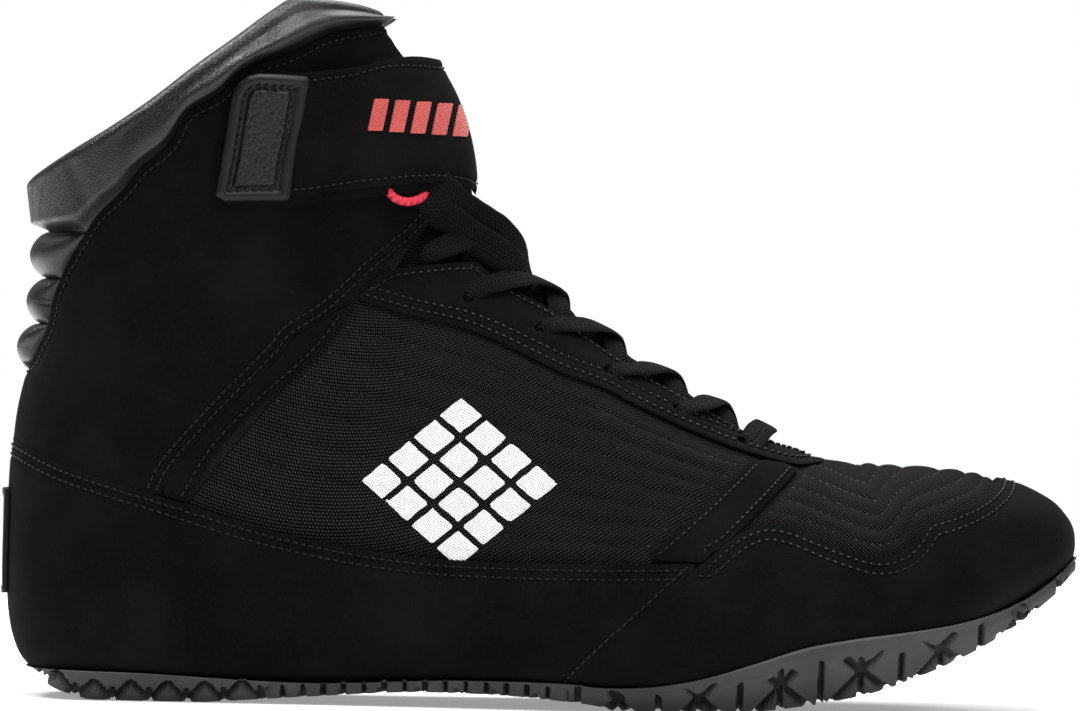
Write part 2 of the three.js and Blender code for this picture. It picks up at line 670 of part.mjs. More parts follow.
// Slots cross the tread and climb the side of the sole as tapered notches
function makeOutsole() {
  const blank = form(soleOffset).subtract(form(CLEARANCE)).intersect(prism(soleOutline()));
  const core = form((v, turn) => soleOffset(v, turn) - SIDE_LUG_DEPTH);
  const count = Math.floor(((TREAD_END - TREAD_START) * LAST_LENGTH) / SIDE_LUG_PITCH);
  let sole = blank;
  for (let i = 0; i < count; i += 1) {
    const x = TREAD_START * LAST_LENGTH + i * SIDE_LUG_PITCH;
    const low = groundAt(x);
    const high = low + SIDE_LUG_RISE * Math.max(featherAt(x) - low, SIDE_LUG_WIDTH);
    const tip = x + (i % 2 ? SIDE_LUG_WIDTH : -SIDE_LUG_WIDTH) / 2;
    const notch = prism([
      [x - SIDE_LUG_WIDTH / 2, low - CUT_PAST],
      [x + SIDE_LUG_WIDTH / 2, low - CUT_PAST],
      [tip + SIDE_LUG_TIP / 2, high],
      [tip - SIDE_LUG_TIP / 2, high],
    ]);
    const slot = prism([
      [x - TREAD_SLOT / 2, low - CUT_PAST],
      [x + TREAD_SLOT / 2, low - CUT_PAST],
      [x + TREAD_SLOT / 2, low + TREAD_DEPTH],
      [x - TREAD_SLOT / 2, low + TREAD_DEPTH],
    ]);
    sole = sole.subtract(notch.subtract(core)).subtract(slot);
  }
  return mainBody(sole);
}

// The strap lies on the ankle panel and passes over the laces in front
const STRAP_CLIMB = [90, 122];
const strapLift = (lift) => (v, turn) => {
  const overLaces = LACE_LIFT + LACE_THICKNESS + 4 * CLEARANCE;
  return lift + mix(PANEL_TOP + CLEARANCE, overLaces, smooth(...STRAP_CLIMB, fromLow(turn)));
};

function makeStrap() {
  const outline = [...curve(STRAP_TOP), ...curve(STRAP_LOW)];
  return shell(strapLift(STRAP_THICKNESS), strapLift(0)).intersect(prism(outline));
}

function makeStrapPatch() {
  const under = STRAP_THICKNESS + CLEARANCE;
  const outline = prism(PATCH.map(mm), -BALL_WIDTH, 0);
  return shell(strapLift(under + PATCH_THICKNESS), strapLift(under)).intersect(outline);
}

function makeHeelLabel() {
  const under = RAND_THICKNESS + 2 * CLEARANCE;
  const outline = prism(LABEL.map(mm), -LABEL_HALF_WIDTH, LABEL_HALF_WIDTH);
  return shell(under + LABEL_THICKNESS, under).intersect(outline);
}

// A flat lace laid on the instep between two places, each a v, a turn and a lift off the last
function laceStrip(from, to, lift) {
  const steps = LACE_STEPS;
  const points = [];
  const triangles = [];
  for (let i = 0; i <= steps; i += 1) {
    const f = i / steps;
    const v = mix(from.v, to.v, f);
    const turn = mix(from.turn, to.turn, f);
    const nearby = 0.002;
    const perV = lastPoint(v + nearby, turn).distanceTo(lastPoint(v - nearby, turn)) / (2 * nearby);
    const dv = LACE_WIDTH / 2 / perV;
    const off = lift(f);
    points.push(skin(v - dv, turn, off), skin(v + dv, turn, off));
    points.push(skin(v + dv, turn, off + LACE_THICKNESS), skin(v - dv, turn, off + LACE_THICKNESS));
  }
  const quad = (a, b, c, d) => triangles.push([a, b, c], [a, c, d]);
  for (let i = 0; i < steps; i += 1) {
    const a = 4 * i;
    for (let k = 0; k < 4; k += 1) quad(a + k, a + 4 + k, a + 4 + ((k + 1) % 4), a + ((k + 1) % 4));
  }
  quad(0, 1, 2, 3);
  const end = 4 * steps;
  quad(end + 3, end + 2, end + 1, end);
  return turnedOut(points, triangles);
}

// A lace falls by this share of the way to the row below and ends this far inside the throat.
// It rises over the first stretch where it starts tucked, and dives over the last one.
const LACE_FALL = 0.42;
const THROAT_INSET = 1.5;
const LACE_RISE = [0, 0.3];
const LACE_DIVE = [0.72, 1];

// Two laces cross on the crest, each down through an eyelet at its far end
function makeLaceCross(upperRow, lowerRow) {
  const [outHole, innHole] = besideCrest(upperRow, EYELET_FROM_CREST);
  const end = mix(lowerRow, upperRow, LACE_FALL);
  const [outEdge, innEdge] = besideCrest(end, THROAT_HALF_WIDTH - THROAT_INSET);
  const tucked = CLEARANCE - UPPER_WALL;
  const start = upperRow === LACE_ROWS.at(-1) ? tucked : LACE_LIFT;
  const dive = (f) => mix(mix(start, LACE_LIFT, smooth(...LACE_RISE, f)), tucked, smooth(...LACE_DIVE, f));
  const toInner = laceStrip({ v: upperRow, turn: outHole }, { v: end, turn: innEdge }, dive);
  const toOuter = laceStrip({ v: upperRow, turn: innHole }, { v: end, turn: outEdge }, dive);
  return toInner.add(toOuter);
}

// The lowest lace runs straight across
function makeLaceBar(row) {
  const [outHole, innHole] = besideCrest(row, EYELET_FROM_CREST);
  return laceStrip({ v: row, turn: outHole }, { v: row, turn: innHole }, () => LACE_LIFT);
}

// Cord loop that shows under the strap's lower edge on the outer side
const LOOP_ROUTE = [
  [0.696, 144], [0.687, 145.5], [0.679, 147.5], [0.672, 149.8], [0.673, 151.6], [0.677, 152.4],
];

function makeLaceLoop() {
  const lift = PANEL_TOP + 2 * CLEARANCE + LOOP_CORD / 2;
  const path = new THREE.CatmullRomCurve3(LOOP_ROUTE.map(([v, turn]) => skin(v, turn, lift)));
  const round = new THREE.Shape().absarc(0, 0, LOOP_CORD / 2, 0, 2 * Math.PI);
  return toManifold(new THREE.ExtrudeGeometry(round, { steps: 12, curveSegments: 4, extrudePath: path }));
}

const nubuck = { color: 0x151515, roughness: 0.92, metalness: 0 };
const leather = { color: 0x1b1b1b, roughness: 0.38, metalness: 0 };
const mesh = { color: 0x202020, roughness: 0.85, metalness: 0 };
const rubber = { color: 0x343434, roughness: 0.7, metalness: 0 };
const webbing = { color: 0x181818, roughness: 0.9, metalness: 0 };
const redCord = { color: 0xb4182c, roughness: 0.7, metalness: 0 };
const foam = { color: 0x26262a, roughness: 0.95, metalness: 0 };

const shoe = new THREE.Group();

function addPiece(name, solid, finish) {
  const { vertProperties, triVerts } = solid.getMesh();
  const geometry = new THREE.BufferGeometry();
  geometry.setAttribute('position', new THREE.Float32BufferAttribute(vertProperties, 3));
  geometry.setIndex(new THREE.Uint32BufferAttribute(triVerts, 1));
  geometry.computeVertexNormals();
  const piece = new THREE.Mesh(geometry, new THREE.MeshStandardMaterial(finish));
  piece.name = name;
  shoe.add(piece);
}

addPiece('outsole', makeOutsole(), rubber);
addPiece('upper', makeUpper(), mesh);
addPiece('insole', makeInsole(), foam);
addPiece('tongue', makeTongue(), mesh);
addPiece('collar_pad', makeCollarPad(), leather);
addPiece('heel_ribs', makeHeelRibs(), leather);
addPiece('ankle_panel', makeAnklePanel(), nubuck);
addPiece('rear_rand', makeRearRand(), nubuck);
addPiece('toe_rand', makeToeRand(), nubuck);
addPiece('eyestay', makeEyestay(), nubuck);
addPiece('flank_strip_outer', makeFlankStrip(-BALL_WIDTH, 0), nubuck);
addPiece('flank_strip_inner', makeFlankStrip(0, BALL_WIDTH), nubuck);
addPiece('vamp_strip_outer', makeVampStrip(-BALL_WIDTH, 0), nubuck);
addPiece('vamp_strip_inner', makeVampStrip(0, BALL_WIDTH), nubuck);
addPiece('ankle_strap', makeStrap(), nubuck);
addPiece('strap_patch', makeStrapPatch(), rubber);
addPiece('heel_label', makeHeelLabel(), rubber);
addPiece('lace_bar', makeLaceBar(LACE_ROWS[0]), webbing);
addPiece('lace_loop', makeLaceLoop(), redCord);
for (let row = 1; row < LACE_ROWS.length; row += 1) {
  addPiece(`lace_cross_${row}`, makeLaceCross(LACE_ROWS[row], LACE_ROWS[row - 1]), webbing);
}

const box = new THREE.Box3().setFromObject(shoe);
const centre = box.getCenter(new THREE.Vector3());
shoe.position.set(-centre.x, -centre.y, SOLE_BED);

export default shoe;
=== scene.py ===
# %% [markdown]
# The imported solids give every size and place. Each visible piece is then modelled over
# the solid that it stands for, in metres and in the same frame, and replaces it.
# %% High-top training shoe: the frame
import bpy
import math
import numpy as np
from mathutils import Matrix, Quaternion, Vector


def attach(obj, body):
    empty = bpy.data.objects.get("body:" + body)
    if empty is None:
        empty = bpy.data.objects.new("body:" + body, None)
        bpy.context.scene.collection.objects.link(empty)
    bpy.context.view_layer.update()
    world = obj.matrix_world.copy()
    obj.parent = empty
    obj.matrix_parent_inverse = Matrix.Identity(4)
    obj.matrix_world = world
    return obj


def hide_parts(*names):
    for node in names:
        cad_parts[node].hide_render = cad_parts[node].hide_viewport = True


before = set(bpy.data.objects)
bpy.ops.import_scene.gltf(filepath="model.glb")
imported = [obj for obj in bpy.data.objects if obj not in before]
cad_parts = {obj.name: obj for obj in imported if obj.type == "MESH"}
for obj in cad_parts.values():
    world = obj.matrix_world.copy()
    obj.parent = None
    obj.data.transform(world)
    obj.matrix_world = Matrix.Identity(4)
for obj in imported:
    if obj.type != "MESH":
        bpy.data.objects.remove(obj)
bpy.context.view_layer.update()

# %% [markdown]
# A shoe is built over a last, a wooden form of the foot. Every layer of leather follows
# that form at its own height, so the form comes first: a table of its cross sections,
# blended smoothly. A place on it is v, from the toe tip round the heel and up the leg,
# and turn, the angle round each section: 0 under the foot or behind the leg, 90 at the
# outer edge, 180 on the crest and 270 at the inner edge.
# %% The last
LENGTH, HEIGHT, WIDTH = 0.283, 0.183, 0.100
PLACE = np.array((-0.140772, 0.00075, 0.0047))
# low x, low z, top x, top z, outer edge, inner edge, crest, widest level, low and high corners
LAST = np.array([
    (1.000, 0.223, 1.000, 0.223, 0.090, 0.090, 0.09, 0.50, 2.0, 2.0),
    (0.998, 0.204, 0.998, 0.242, 0.000, 0.180, 0.09, 0.50, 2.2, 2.2),
    (0.992, 0.189, 0.992, 0.258, -0.08, 0.250, 0.09, 0.48, 2.3, 2.3),
    (0.978, 0.169, 0.978, 0.279, -0.16, 0.315, 0.09, 0.45, 2.4, 2.3),
    (0.949, 0.136, 0.947, 0.302, -0.26, 0.380, 0.08, 0.42, 2.6, 2.3),
    (0.907, 0.096, 0.905, 0.318, -0.35, 0.430, 0.08, 0.38, 2.9, 2.3),
    (0.861, 0.062, 0.861, 0.325, -0.415, 0.465, 0.07, 0.35, 3.1, 2.3),
    (0.810, 0.033, 0.811, 0.328, -0.46, 0.485, 0.06, 0.33, 3.2, 2.2),
    (0.753, 0.015, 0.755, 0.337, -0.49, 0.490, 0.05, 0.31, 3.4, 2.0),
    (0.696, 0.003, 0.695, 0.377, -0.505, 0.480, 0.04, 0.28, 3.5, 1.85),
    (0.631, 0.000, 0.631, 0.431, -0.50, 0.450, 0.03, 0.25, 3.6, 1.8),
    (0.560, 0.002, 0.564, 0.495, -0.47, 0.405, 0.025, 0.22, 3.9, 1.8),
    (0.483, 0.007, 0.507, 0.562, -0.43, 0.360, 0.02, 0.20, 4.2, 1.85),
    (0.391, 0.010, 0.457, 0.614, -0.385, 0.330, 0.01, 0.20, 4.6, 1.9),
    (0.299, 0.006, 0.434, 0.647, -0.355, 0.330, 0.005, 0.20, 4.6, 2.0),
    (0.204, 0.002, 0.421, 0.676, -0.345, 0.340, 0, 0.20, 4.6, 2.1),
    (0.119, 0.001, 0.413, 0.701, -0.345, 0.345, 0, 0.21, 4.4, 2.2),
    (0.052, 0.004, 0.410, 0.724, -0.345, 0.345, 0, 0.23, 3.8, 2.2),
    (0.020, 0.027, 0.409, 0.749, -0.345, 0.345, 0, 0.26, 3.0, 2.2),
    (0.006, 0.064, 0.406, 0.778, -0.345, 0.345, 0, 0.30, 2.5, 2.2),
    (0.000, 0.122, 0.401, 0.808, -0.345, 0.345, 0, 0.34, 2.3, 2.2),
    (-0.001, 0.209, 0.392, 0.846, -0.345, 0.345, 0, 0.38, 2.2, 2.2),
    (0.000, 0.302, 0.380, 0.881, -0.345, 0.345, 0, 0.42, 2.2, 2.2),
    (0.005, 0.390, 0.371, 0.914, -0.35, 0.350, 0, 0.45, 2.2, 2.2),
    (0.017, 0.472, 0.355, 0.943, -0.355, 0.355, 0, 0.47, 2.2, 2.2),
    (0.027, 0.554, 0.345, 0.966, -0.365, 0.365, 0, 0.48, 2.2, 2.2),
    (0.029, 0.641, 0.336, 0.993, -0.375, 0.375, 0, 0.50, 2.2, 2.2),
    (0.023, 0.728, 0.325, 1.029, -0.38, 0.380, 0, 0.50, 2.2, 2.2),
    (0.016, 0.816, 0.313, 1.067, -0.38, 0.380, 0, 0.50, 2.2, 2.2),
])


def section(v):
    place = np.clip(v, 0, 1) * (len(LAST) - 1)
    i = np.minimum(np.floor(place).astype(int), len(LAST) - 2)
    f = (place - i)[..., None]
    a, b, c, d = (LAST[np.clip(i + k, 0, len(LAST) - 1)] for k in (-1, 0, 1, 2))
    bend = (2 * a - 5 * b + 4 * c - d) * f * f + (3 * b - a - 3 * c + d) * f ** 3
    return np.moveaxis(0.5 * (2 * b + (c - a) * f + bend), -1, 0)


def last_point(v, turn):
    v, turn = np.broadcast_arrays(np.asarray(v, float), np.asarray(turn, float))
    low_x, low_z, top_x, top_z, out, inn, ridge, level, sole, side = section(v)
    turn = np.mod(turn, 360)
    half = np.where(turn > 180, 360 - turn, turn)
    low = half <= 90
    angle = np.radians(np.where(low, half, 180 - half))
    power = 2 / np.where(low, sole, side)
    across = np.maximum(np.sin(angle), 0) ** power
    drop = np.maximum(np.cos(angle), 0) ** power
    along = np.where(low, level * (1 - drop), 1 - (1 - level) * (1 - drop))
    middle = np.where(low, (out + inn) / 2, ridge)
    edge = np.where(turn > 180, inn, out)
    x = (low_x + (top_x - low_x) * along) * LENGTH
    y = (middle + (edge - middle) * across) * WIDTH
    z = (low_z + (top_z - low_z) * along) * HEIGHT
    return np.stack((x, y, z), -1) + PLACE


def unit(a):
    return a / np.maximum(np.linalg.norm(a, axis=-1, keepdims=True), 1e-12)


def last_normal(v, turn):
    v = np.maximum(v, 1e-4)
    along_v = last_point(v + 0.004, turn) - last_point(v - 0.004, turn)
    along_t = last_point(v, turn + 2) - last_point(v, turn - 2)
    return unit(np.cross(along_t, along_v))


def skin(v, turn, height):
    """The point at a height above the last."""
    height = np.broadcast_to(height, np.broadcast(v, turn).shape)
    return last_point(v, turn) + last_normal(v, turn) * height[..., None]


def smooth(a, b, x):
    f = np.clip((x - a) / (b - a), 0, 1)
    return f * f * (3 - 2 * f)


print("the last is", round(float(np.ptp(last_point(np.linspace(0, 1, 200), 0)[:, 0])), 4), "m long")

# %% [markdown]
# Seams are drawn in side view, as a pattern cutter draws them on the side of the last.
# Each is a table of points, as shares of the last's length and height, run through by a
# smooth curve.
# %% Seam lines in side view
FEATHER = [
    (-0.04, 0.020), (0.064, 0.019), (0.130, 0.017), (0.225, 0.010), (0.301, 0.008),
    (0.414, 0.016), (0.519, 0.016), (0.557, 0.011), (0.604, 0.014), (0.652, 0.028),
    (0.699, 0.051), (0.746, 0.075), (0.793, 0.089), (0.840, 0.099), (0.888, 0.111),
    (0.935, 0.132), (0.976, 0.165), (1.006, 0.203),
]
GROUND = [
    (1.030, 0.190), (1.004, 0.183), (0.988, 0.155), (0.959, 0.119), (0.925, 0.083),
    (0.880, 0.047), (0.819, 0.010), (0.767, -0.009), (0.728, -0.018),
]
ARCH = [
    (0.565, -0.024), (0.545, -0.016), (0.470, -0.006), (0.380, -0.004), (0.300, -0.012),
    (0.225, -0.021),
]
HEEL_BEVEL = [
    (0.075, -0.0257), (0.045, -0.013), (0.010, 0.005), (-0.04, 0.014),
]
RAND_TOP = [
    (-0.04, 0.372), (-0.005, 0.355), (0.050, 0.316), (0.099, 0.292), (0.148, 0.270),
    (0.194, 0.248), (0.247, 0.226), (0.312, 0.206), (0.377, 0.193), (0.443, 0.188),
    (0.547, 0.187), (0.640, 0.190),
]
TOE_SEAM = [
    (0.505, -0.03), (0.526, 0.017), (0.565, 0.071), (0.613, 0.139), (0.645, 0.186),
]
TOE_RAND = [
    (0.652, 0.194), (0.680, 0.230), (0.706, 0.245), (0.732, 0.240), (0.775, 0.216),
    (0.811, 0.202), (0.835, 0.211), (0.849, 0.231), (0.859, 0.252), (0.879, 0.262),
    (0.905, 0.278), (0.924, 0.297), (0.933, 0.318), (0.936, 0.350),
]
STRIP_REAR = [
    (0.712, 0.360), (0.695, 0.337), (0.640, 0.258), (0.594, 0.196),
]
STRIP_FRONT = [
    (0.657, 0.206), (0.674, 0.224), (0.738, 0.322), (0.748, 0.345),
]
EYESTAY_LOW = [
    (0.322, 0.562), (0.373, 0.540), (0.418, 0.524), (0.451, 0.505), (0.484, 0.481),
    (0.516, 0.458), (0.552, 0.438), (0.576, 0.419), (0.600, 0.401), (0.625, 0.384),
    (0.649, 0.369), (0.673, 0.355), (0.698, 0.343), (0.734, 0.329), (0.762, 0.331),
]
EYESTAY_TOP = [
    (0.330, 0.585), (0.356, 0.606), (0.405, 0.615), (0.447, 0.614), (0.488, 0.608),
]
ANKLE_FRONT = [
    (0.440, 0.740), (0.396, 0.706), (0.388, 0.678), (0.372, 0.647), (0.340, 0.605),
    (0.324, 0.580), (0.295, 0.538), (0.263, 0.505), (0.250, 0.478), (0.196, 0.389),
    (0.154, 0.312), (0.143, 0.276),
]
LEG_FRONT = [
    (0.321, 0.560), (0.286, 0.483), (0.232, 0.405), (0.193, 0.339), (0.166, 0.266),
]
CUFF_SEAM = [
    (0.420, 0.915), (0.350, 0.956), (0.319, 0.954), (0.287, 0.943), (0.255, 0.916),
    (0.213, 0.889), (0.190, 0.854), (0.161, 0.827), (0.145, 0.781), (0.119, 0.746),
]
HEEL_PAD_EDGE = [
    (0.104, 0.715), (0.078, 0.674), (0.062, 0.633), (0.049, 0.597), (0.039, 0.556),
    (0.034, 0.516), (0.025, 0.485), (0.011, 0.455), (-0.04, 0.440),
]
COLLAR_EDGE = [
    (-0.04, 0.690), (0.000, 0.706), (0.023, 0.737), (0.055, 0.772), (0.092, 0.809),
    (0.130, 0.851), (0.167, 0.897), (0.205, 0.940), (0.242, 0.983), (0.263, 0.999),
    (0.318, 0.992), (0.347, 0.972), (0.420, 0.930),
]
STRAP_TOP = [
    (0.205, 0.860), (0.219, 0.882), (0.268, 0.891), (0.353, 0.903), (0.385, 0.900),
    (0.440, 0.885),
]
STRAP_LOW = [
    (0.460, 0.700), (0.434, 0.703), (0.420, 0.716), (0.387, 0.731), (0.339, 0.727),
    (0.262, 0.712), (0.205, 0.716), (0.190, 0.730),
]


def curve(points, steps=8):
    """A smooth line through side-view points, in metres."""
    p = np.array(points, float)
    p = np.vstack((2 * p[0] - p[1], p, 2 * p[-1] - p[-2]))
    f = np.linspace(0, 1, steps, endpoint=False)[:, None]
    spans = []
    for a, b, c, d in zip(p, p[1:], p[2:], p[3:]):
        spans.append(0.5 * (2 * b + (c - a) * f + (2 * a - 5 * b + 4 * c - d) * f * f
                            + (3 * b - a - 3 * c + d) * f ** 3))
    line = np.vstack(spans + [p[-2:-1]])
    return line * (LENGTH, HEIGHT) + PLACE[[0, 2]]


def corner(along, up):
    return np.array([[along * LENGTH + PLACE[0], up * HEIGHT + PLACE[2]]])


def side_view(v, turn):
    """Along and up, in metres, of a place on the last."""
    p = last_point(v, turn)
    return p[..., 0], p[..., 2]


def nearest(p, edges):
    """Distance of each point from the nearest of some edges, each given by its two ends."""
    best = np.full(len(p), 1e9)
    for a, b in edges:
        edge = b - a
        f = np.clip(((p - a) @ edge) / max(edge @ edge, 1e-18), 0, 1)
        best = np.minimum(best, np.linalg.norm(p - a - f[:, None] * edge, axis=1))
    return best


def outside(line, x, z):
    """Signed distance from a closed side-view outline, negative inside it."""
    p = np.stack((np.ravel(x), np.ravel(z)), -1)
    edges = list(zip(line, np.roll(line, -1, axis=0)))
    inside = np.zeros(len(p), bool)
    for (x0, z0), (x1, z1) in edges:
        crosses = (z0 > p[:, 1]) != (z1 > p[:, 1])
        if crosses.any():
            inside ^= crosses & (p[:, 0] < x0 + (p[:, 1] - z0) / (z1 - z0) * (x1 - x0))
    return (nearest(p, edges) * np.where(inside, -1, 1)).reshape(np.shape(x))


def cut_by(*lines):
    """A test for being within a side-view outline made of several lines, end to end."""
    line = np.vstack(lines)
    return lambda v, turn: outside(line, *side_view(v, turn))


def line_depth(*lines):
    """A test for how far a place lies, in side view, from a seam line."""
    line = np.vstack(lines)
    edges = list(zip(line[:-1], line[1:]))

    def test(v, turn):
        x, z = side_view(v, turn)
        return -nearest(np.stack((x.ravel(), z.ravel()), -1), edges).reshape(x.shape)
    return test


def beside_crest(v, turn):
    """Signed distance across from the crest, positive on the inner side."""
    ridge = section(v)[6] * WIDTH + PLACE[1]
    return last_point(v, turn)[..., 1] - ridge


print("the feather line is", round(float(np.ptp(curve(FEATHER)[:, 0])), 4), "m long in side view")

# %% [markdown]
# Everything that is modelled starts from a Blender primitive. The helpers clear the
# selection first, because an operator acts on all that is selected.
# %% Helpers for pieces
def start(name, add, **sizes):
    bpy.ops.object.select_all(action="DESELECT")
    add(**sizes)
    piece = bpy.context.active_object
    piece.name = piece.data.name = name
    return piece


def pick(piece):
    bpy.ops.object.select_all(action="DESELECT")
    piece.select_set(True)
    bpy.context.view_layer.objects.active = piece


def edit(piece, *steps):
    """Runs operators on a piece in edit mode."""
    pick(piece)
    bpy.ops.object.mode_set(mode="EDIT")
    for step in steps:
        step()
    bpy.ops.object.mode_set(mode="OBJECT")


def merge_points(piece, distance):
    edit(piece, lambda: bpy.ops.mesh.select_all(action="SELECT"),
         lambda: bpy.ops.mesh.remove_doubles(threshold=distance))


def finish_with(piece, kind, **settings):
    """Adds one modifier and applies it."""
    pick(piece)
    modifier = piece.modifiers.new(kind.lower(), kind)
    for key, value in settings.items():
        setattr(modifier, key, value)
    bpy.ops.object.modifier_apply(modifier=modifier.name)


def thicken(piece, thickness, edge, side):
    """Gives a sheet its thickness, to one side of it, and rounds its edges."""
    if thickness:
        finish_with(piece, "SOLIDIFY", thickness=thickness, offset=side, use_even_offset=False)
    if edge:
        finish_with(piece, "BEVEL", width=edge, segments=2, limit_method="ANGLE",
                    angle_limit=math.radians(50), use_clamp_overlap=True)


def points_of(piece):
    co = np.empty(len(piece.data.vertices) * 3, np.float32)
    piece.data.vertices.foreach_get("co", co)
    return co.reshape(-1, 3).astype(float)


def place_points(piece, co):
    piece.data.vertices.foreach_set("co", np.asarray(co, np.float32).ravel())
    piece.data.update()


def smooth_faces(piece, degrees=35):
    pick(piece)
    bpy.ops.object.shade_smooth_by_angle(angle=math.radians(degrees))
    print(piece.name, len(piece.data.polygons), "faces")


def corners_of(mesh):
    corners = np.empty(len(mesh.loops), int)
    mesh.loops.foreach_get("vertex_index", corners)
    return corners


def keep_uv(piece, across, along):
    """Stores two lengths in metres for each vertex as the piece's UV map."""
    mesh = piece.data
    layer = mesh.uv_layers.get("UVMap") or mesh.uv_layers.new(name="UVMap")
    uv = np.stack((across, along), -1)[corners_of(mesh)]
    layer.data.foreach_set("uv", uv.astype(np.float32).ravel())


def trim(piece, depth, touched=False):
    """Deletes the faces beyond a cut. Gives the points kept and which of those are its rim."""
    mesh = piece.data
    corners = corners_of(mesh).reshape(-1, 4)
    gone = depth[corners].mean(1) > 0
    rim, kept = np.zeros(len(depth), bool), np.zeros(len(depth), bool)
    rim[corners[gone]] = True
    kept[corners[~gone]] = True
    mesh.polygons.foreach_set("select", gone)
    bpy.context.tool_settings.mesh_select_mode = (False, False, True)
    edit(piece, lambda: bpy.ops.mesh.delete(type="FACE"))
    return kept, np.flatnonzero((rim | touched)[kept])

# %% [markdown]
# Weaves and quilting rows are laid out in metres along the shoe and round it, so the grid
# over the last is measured once.
# %% Lengths on the last
ROWS_ALONG, STEPS_AROUND = 240, 361
ALONG = np.linspace(0, 1, ROWS_ALONG)
AROUND = np.linspace(-360, 360, STEPS_AROUND)
steps_along = np.linalg.norm(np.diff(last_point(ALONG, 130), axis=0), axis=1)
RUN = np.concatenate(([0], np.cumsum(steps_along)))
rings = np.diff(last_point(ALONG[:, None], AROUND[None, :] + 180), axis=1)
GIRTH = np.cumsum(np.linalg.norm(rings, axis=2), 1)
GIRTH = np.concatenate((np.zeros((ROWS_ALONG, 1)), GIRTH), 1)
GIRTH -= GIRTH[:, STEPS_AROUND // 2, None]


def cloth_grid(v, turn):
    """Lengths in metres along the shoe and round it from the crest, for weaves and rows."""
    i = np.clip(v, 0, 1) * (ROWS_ALONG - 1)
    i0 = np.minimum(i.astype(int), ROWS_ALONG - 2)
    f = i - i0
    t = np.clip((np.mod(turn, 360) - 180 + 360) / 2, 0, 359.999)
    j0 = t.astype(int)
    g = t - j0
    low = GIRTH[i0, j0] * (1 - g) + GIRTH[i0, j0 + 1] * g
    high = GIRTH[i0 + 1, j0] * (1 - g) + GIRTH[i0 + 1, j0 + 1] * g
    return RUN[i0] * (1 - f) + RUN[i0 + 1] * f, low * (1 - f) + high * f


print("the shoe is", round(float(RUN[-1]), 3), "m along, from the toe round the heel and up")

# %% [markdown]
# A panel is cut as a shoemaker cuts it: from flat stuff, by a pattern. A Blender grid is laid
# over the last, faces outside the pattern are deleted, the points at the cut move onto it,
# and the sheet gets its thickness and a rounded edge from two applied modifiers.
# %% Pieces cut from a grid over the last
def length_of(points):
    return np.linalg.norm(np.diff(points, axis=0), axis=1).sum()


def snap(v, turn, inside, reach):
    """Moves places onto the line where a test is zero, by a few Newton steps."""
    for _ in range(5):
        here = inside(v, turn)
        slope_v = (inside(v + 1e-4, turn) - here) / 1e-4
        slope_t = (inside(v, turn + 0.05) - here) / 0.05
        wide_v = last_point(v + 1e-3, turn) - last_point(v - 1e-3, turn)
        wide_t = last_point(v, turn + 0.5) - last_point(v, turn - 0.5)
        scale_v = np.maximum(np.linalg.norm(wide_v, axis=1) / 2e-3, 0.02)
        scale_t = np.maximum(np.linalg.norm(wide_t, axis=1), 1e-4)
        slope_v, slope_t = slope_v / scale_v, slope_t / scale_t
        step = np.clip(here / np.maximum(slope_v ** 2 + slope_t ** 2, 0.05), -reach, reach)
        v = np.clip(v - step * slope_v / scale_v, 1e-4, 1)
        turn = turn - step * slope_t / scale_t
    return v, turn


def cover(name, inside, height, v_span, turn_span, thickness, cell=0.0013, edge=0.0004,
          uv=cloth_grid):
    """A piece of leather or cloth on the last, cut where inside(v, turn) is negative."""
    v0, v1 = v_span
    t0, t1 = turn_span
    along = np.linspace(v0, v1, 60)
    run = max(length_of(last_point(along, 0 if t0 <= 0 else t0)),
              length_of(last_point(along, 90 if t0 <= 90 <= t1 else (t0 + t1) / 2)))
    around = max(length_of(last_point(v, np.linspace(t0, t1, 90))) for v in np.linspace(v0, v1, 7))
    piece = start(name, bpy.ops.mesh.primitive_grid_add, size=2,
                  x_subdivisions=int(run / cell), y_subdivisions=int(around / cell))
    co = points_of(piece)
    v = v0 + (co[:, 0] + 1) / 2 * (v1 - v0)
    turn = t0 + (co[:, 1] + 1) / 2 * (t1 - t0)
    depth = inside(v, turn)
    closing = (t1 - t0 >= 360) & (np.abs(np.abs(co[:, 1]) - 1) < 1e-5) & (np.abs(depth) < cell / 2)
    kept, rim = trim(piece, depth, closing)
    v, turn = v[kept], turn[kept]
    v[rim], turn[rim] = snap(v[rim], turn[rim], inside, cell)
    keep_uv(piece, *uv(v, turn))
    place_points(piece, skin(v, turn, height(v, turn)))
    merge_points(piece, 2e-5)
    thicken(piece, thickness, edge, 1)
    smooth_faces(piece)
    return piece


print("a panel's grid is 1.3 mm fine where nothing else is said")

# %% [markdown]
# A finish is a small network of nodes. Written out as Python expressions it stays short:
# a Wire wraps a socket, and its operators add the Math nodes.
# %% Finishes as shader maths
def grey(tone):
    return tone, tone, tone


class Wire:
    def __init__(self, board, socket):
        self.board, self.socket = board, socket

    def maths(self, operation, *others):
        return self.board.node("ShaderNodeMath", {"operation": operation}, *others)

    def __add__(self, other):
        return self.maths("ADD", self, other)

    def __sub__(self, other):
        return self.maths("SUBTRACT", self, other)

    def __rsub__(self, other):
        return self.maths("SUBTRACT", other, self)

    def __mul__(self, other):
        return self.maths("MULTIPLY", self, other)

    def __pow__(self, other):
        return self.maths("POWER", self, other)

    __radd__, __rmul__ = __add__, __mul__

    def wave(self):
        return self.maths("SINE", self)

    def size(self):
        return self.maths("ABSOLUTE", self)

    def ramp(self, low, high):
        """0 below low and 1 above high, with a soft step between them."""
        settings = {"interpolation_type": "SMOOTHSTEP"}
        return self.board.node("ShaderNodeMapRange", settings, self, low, high, 0.0, 1.0)


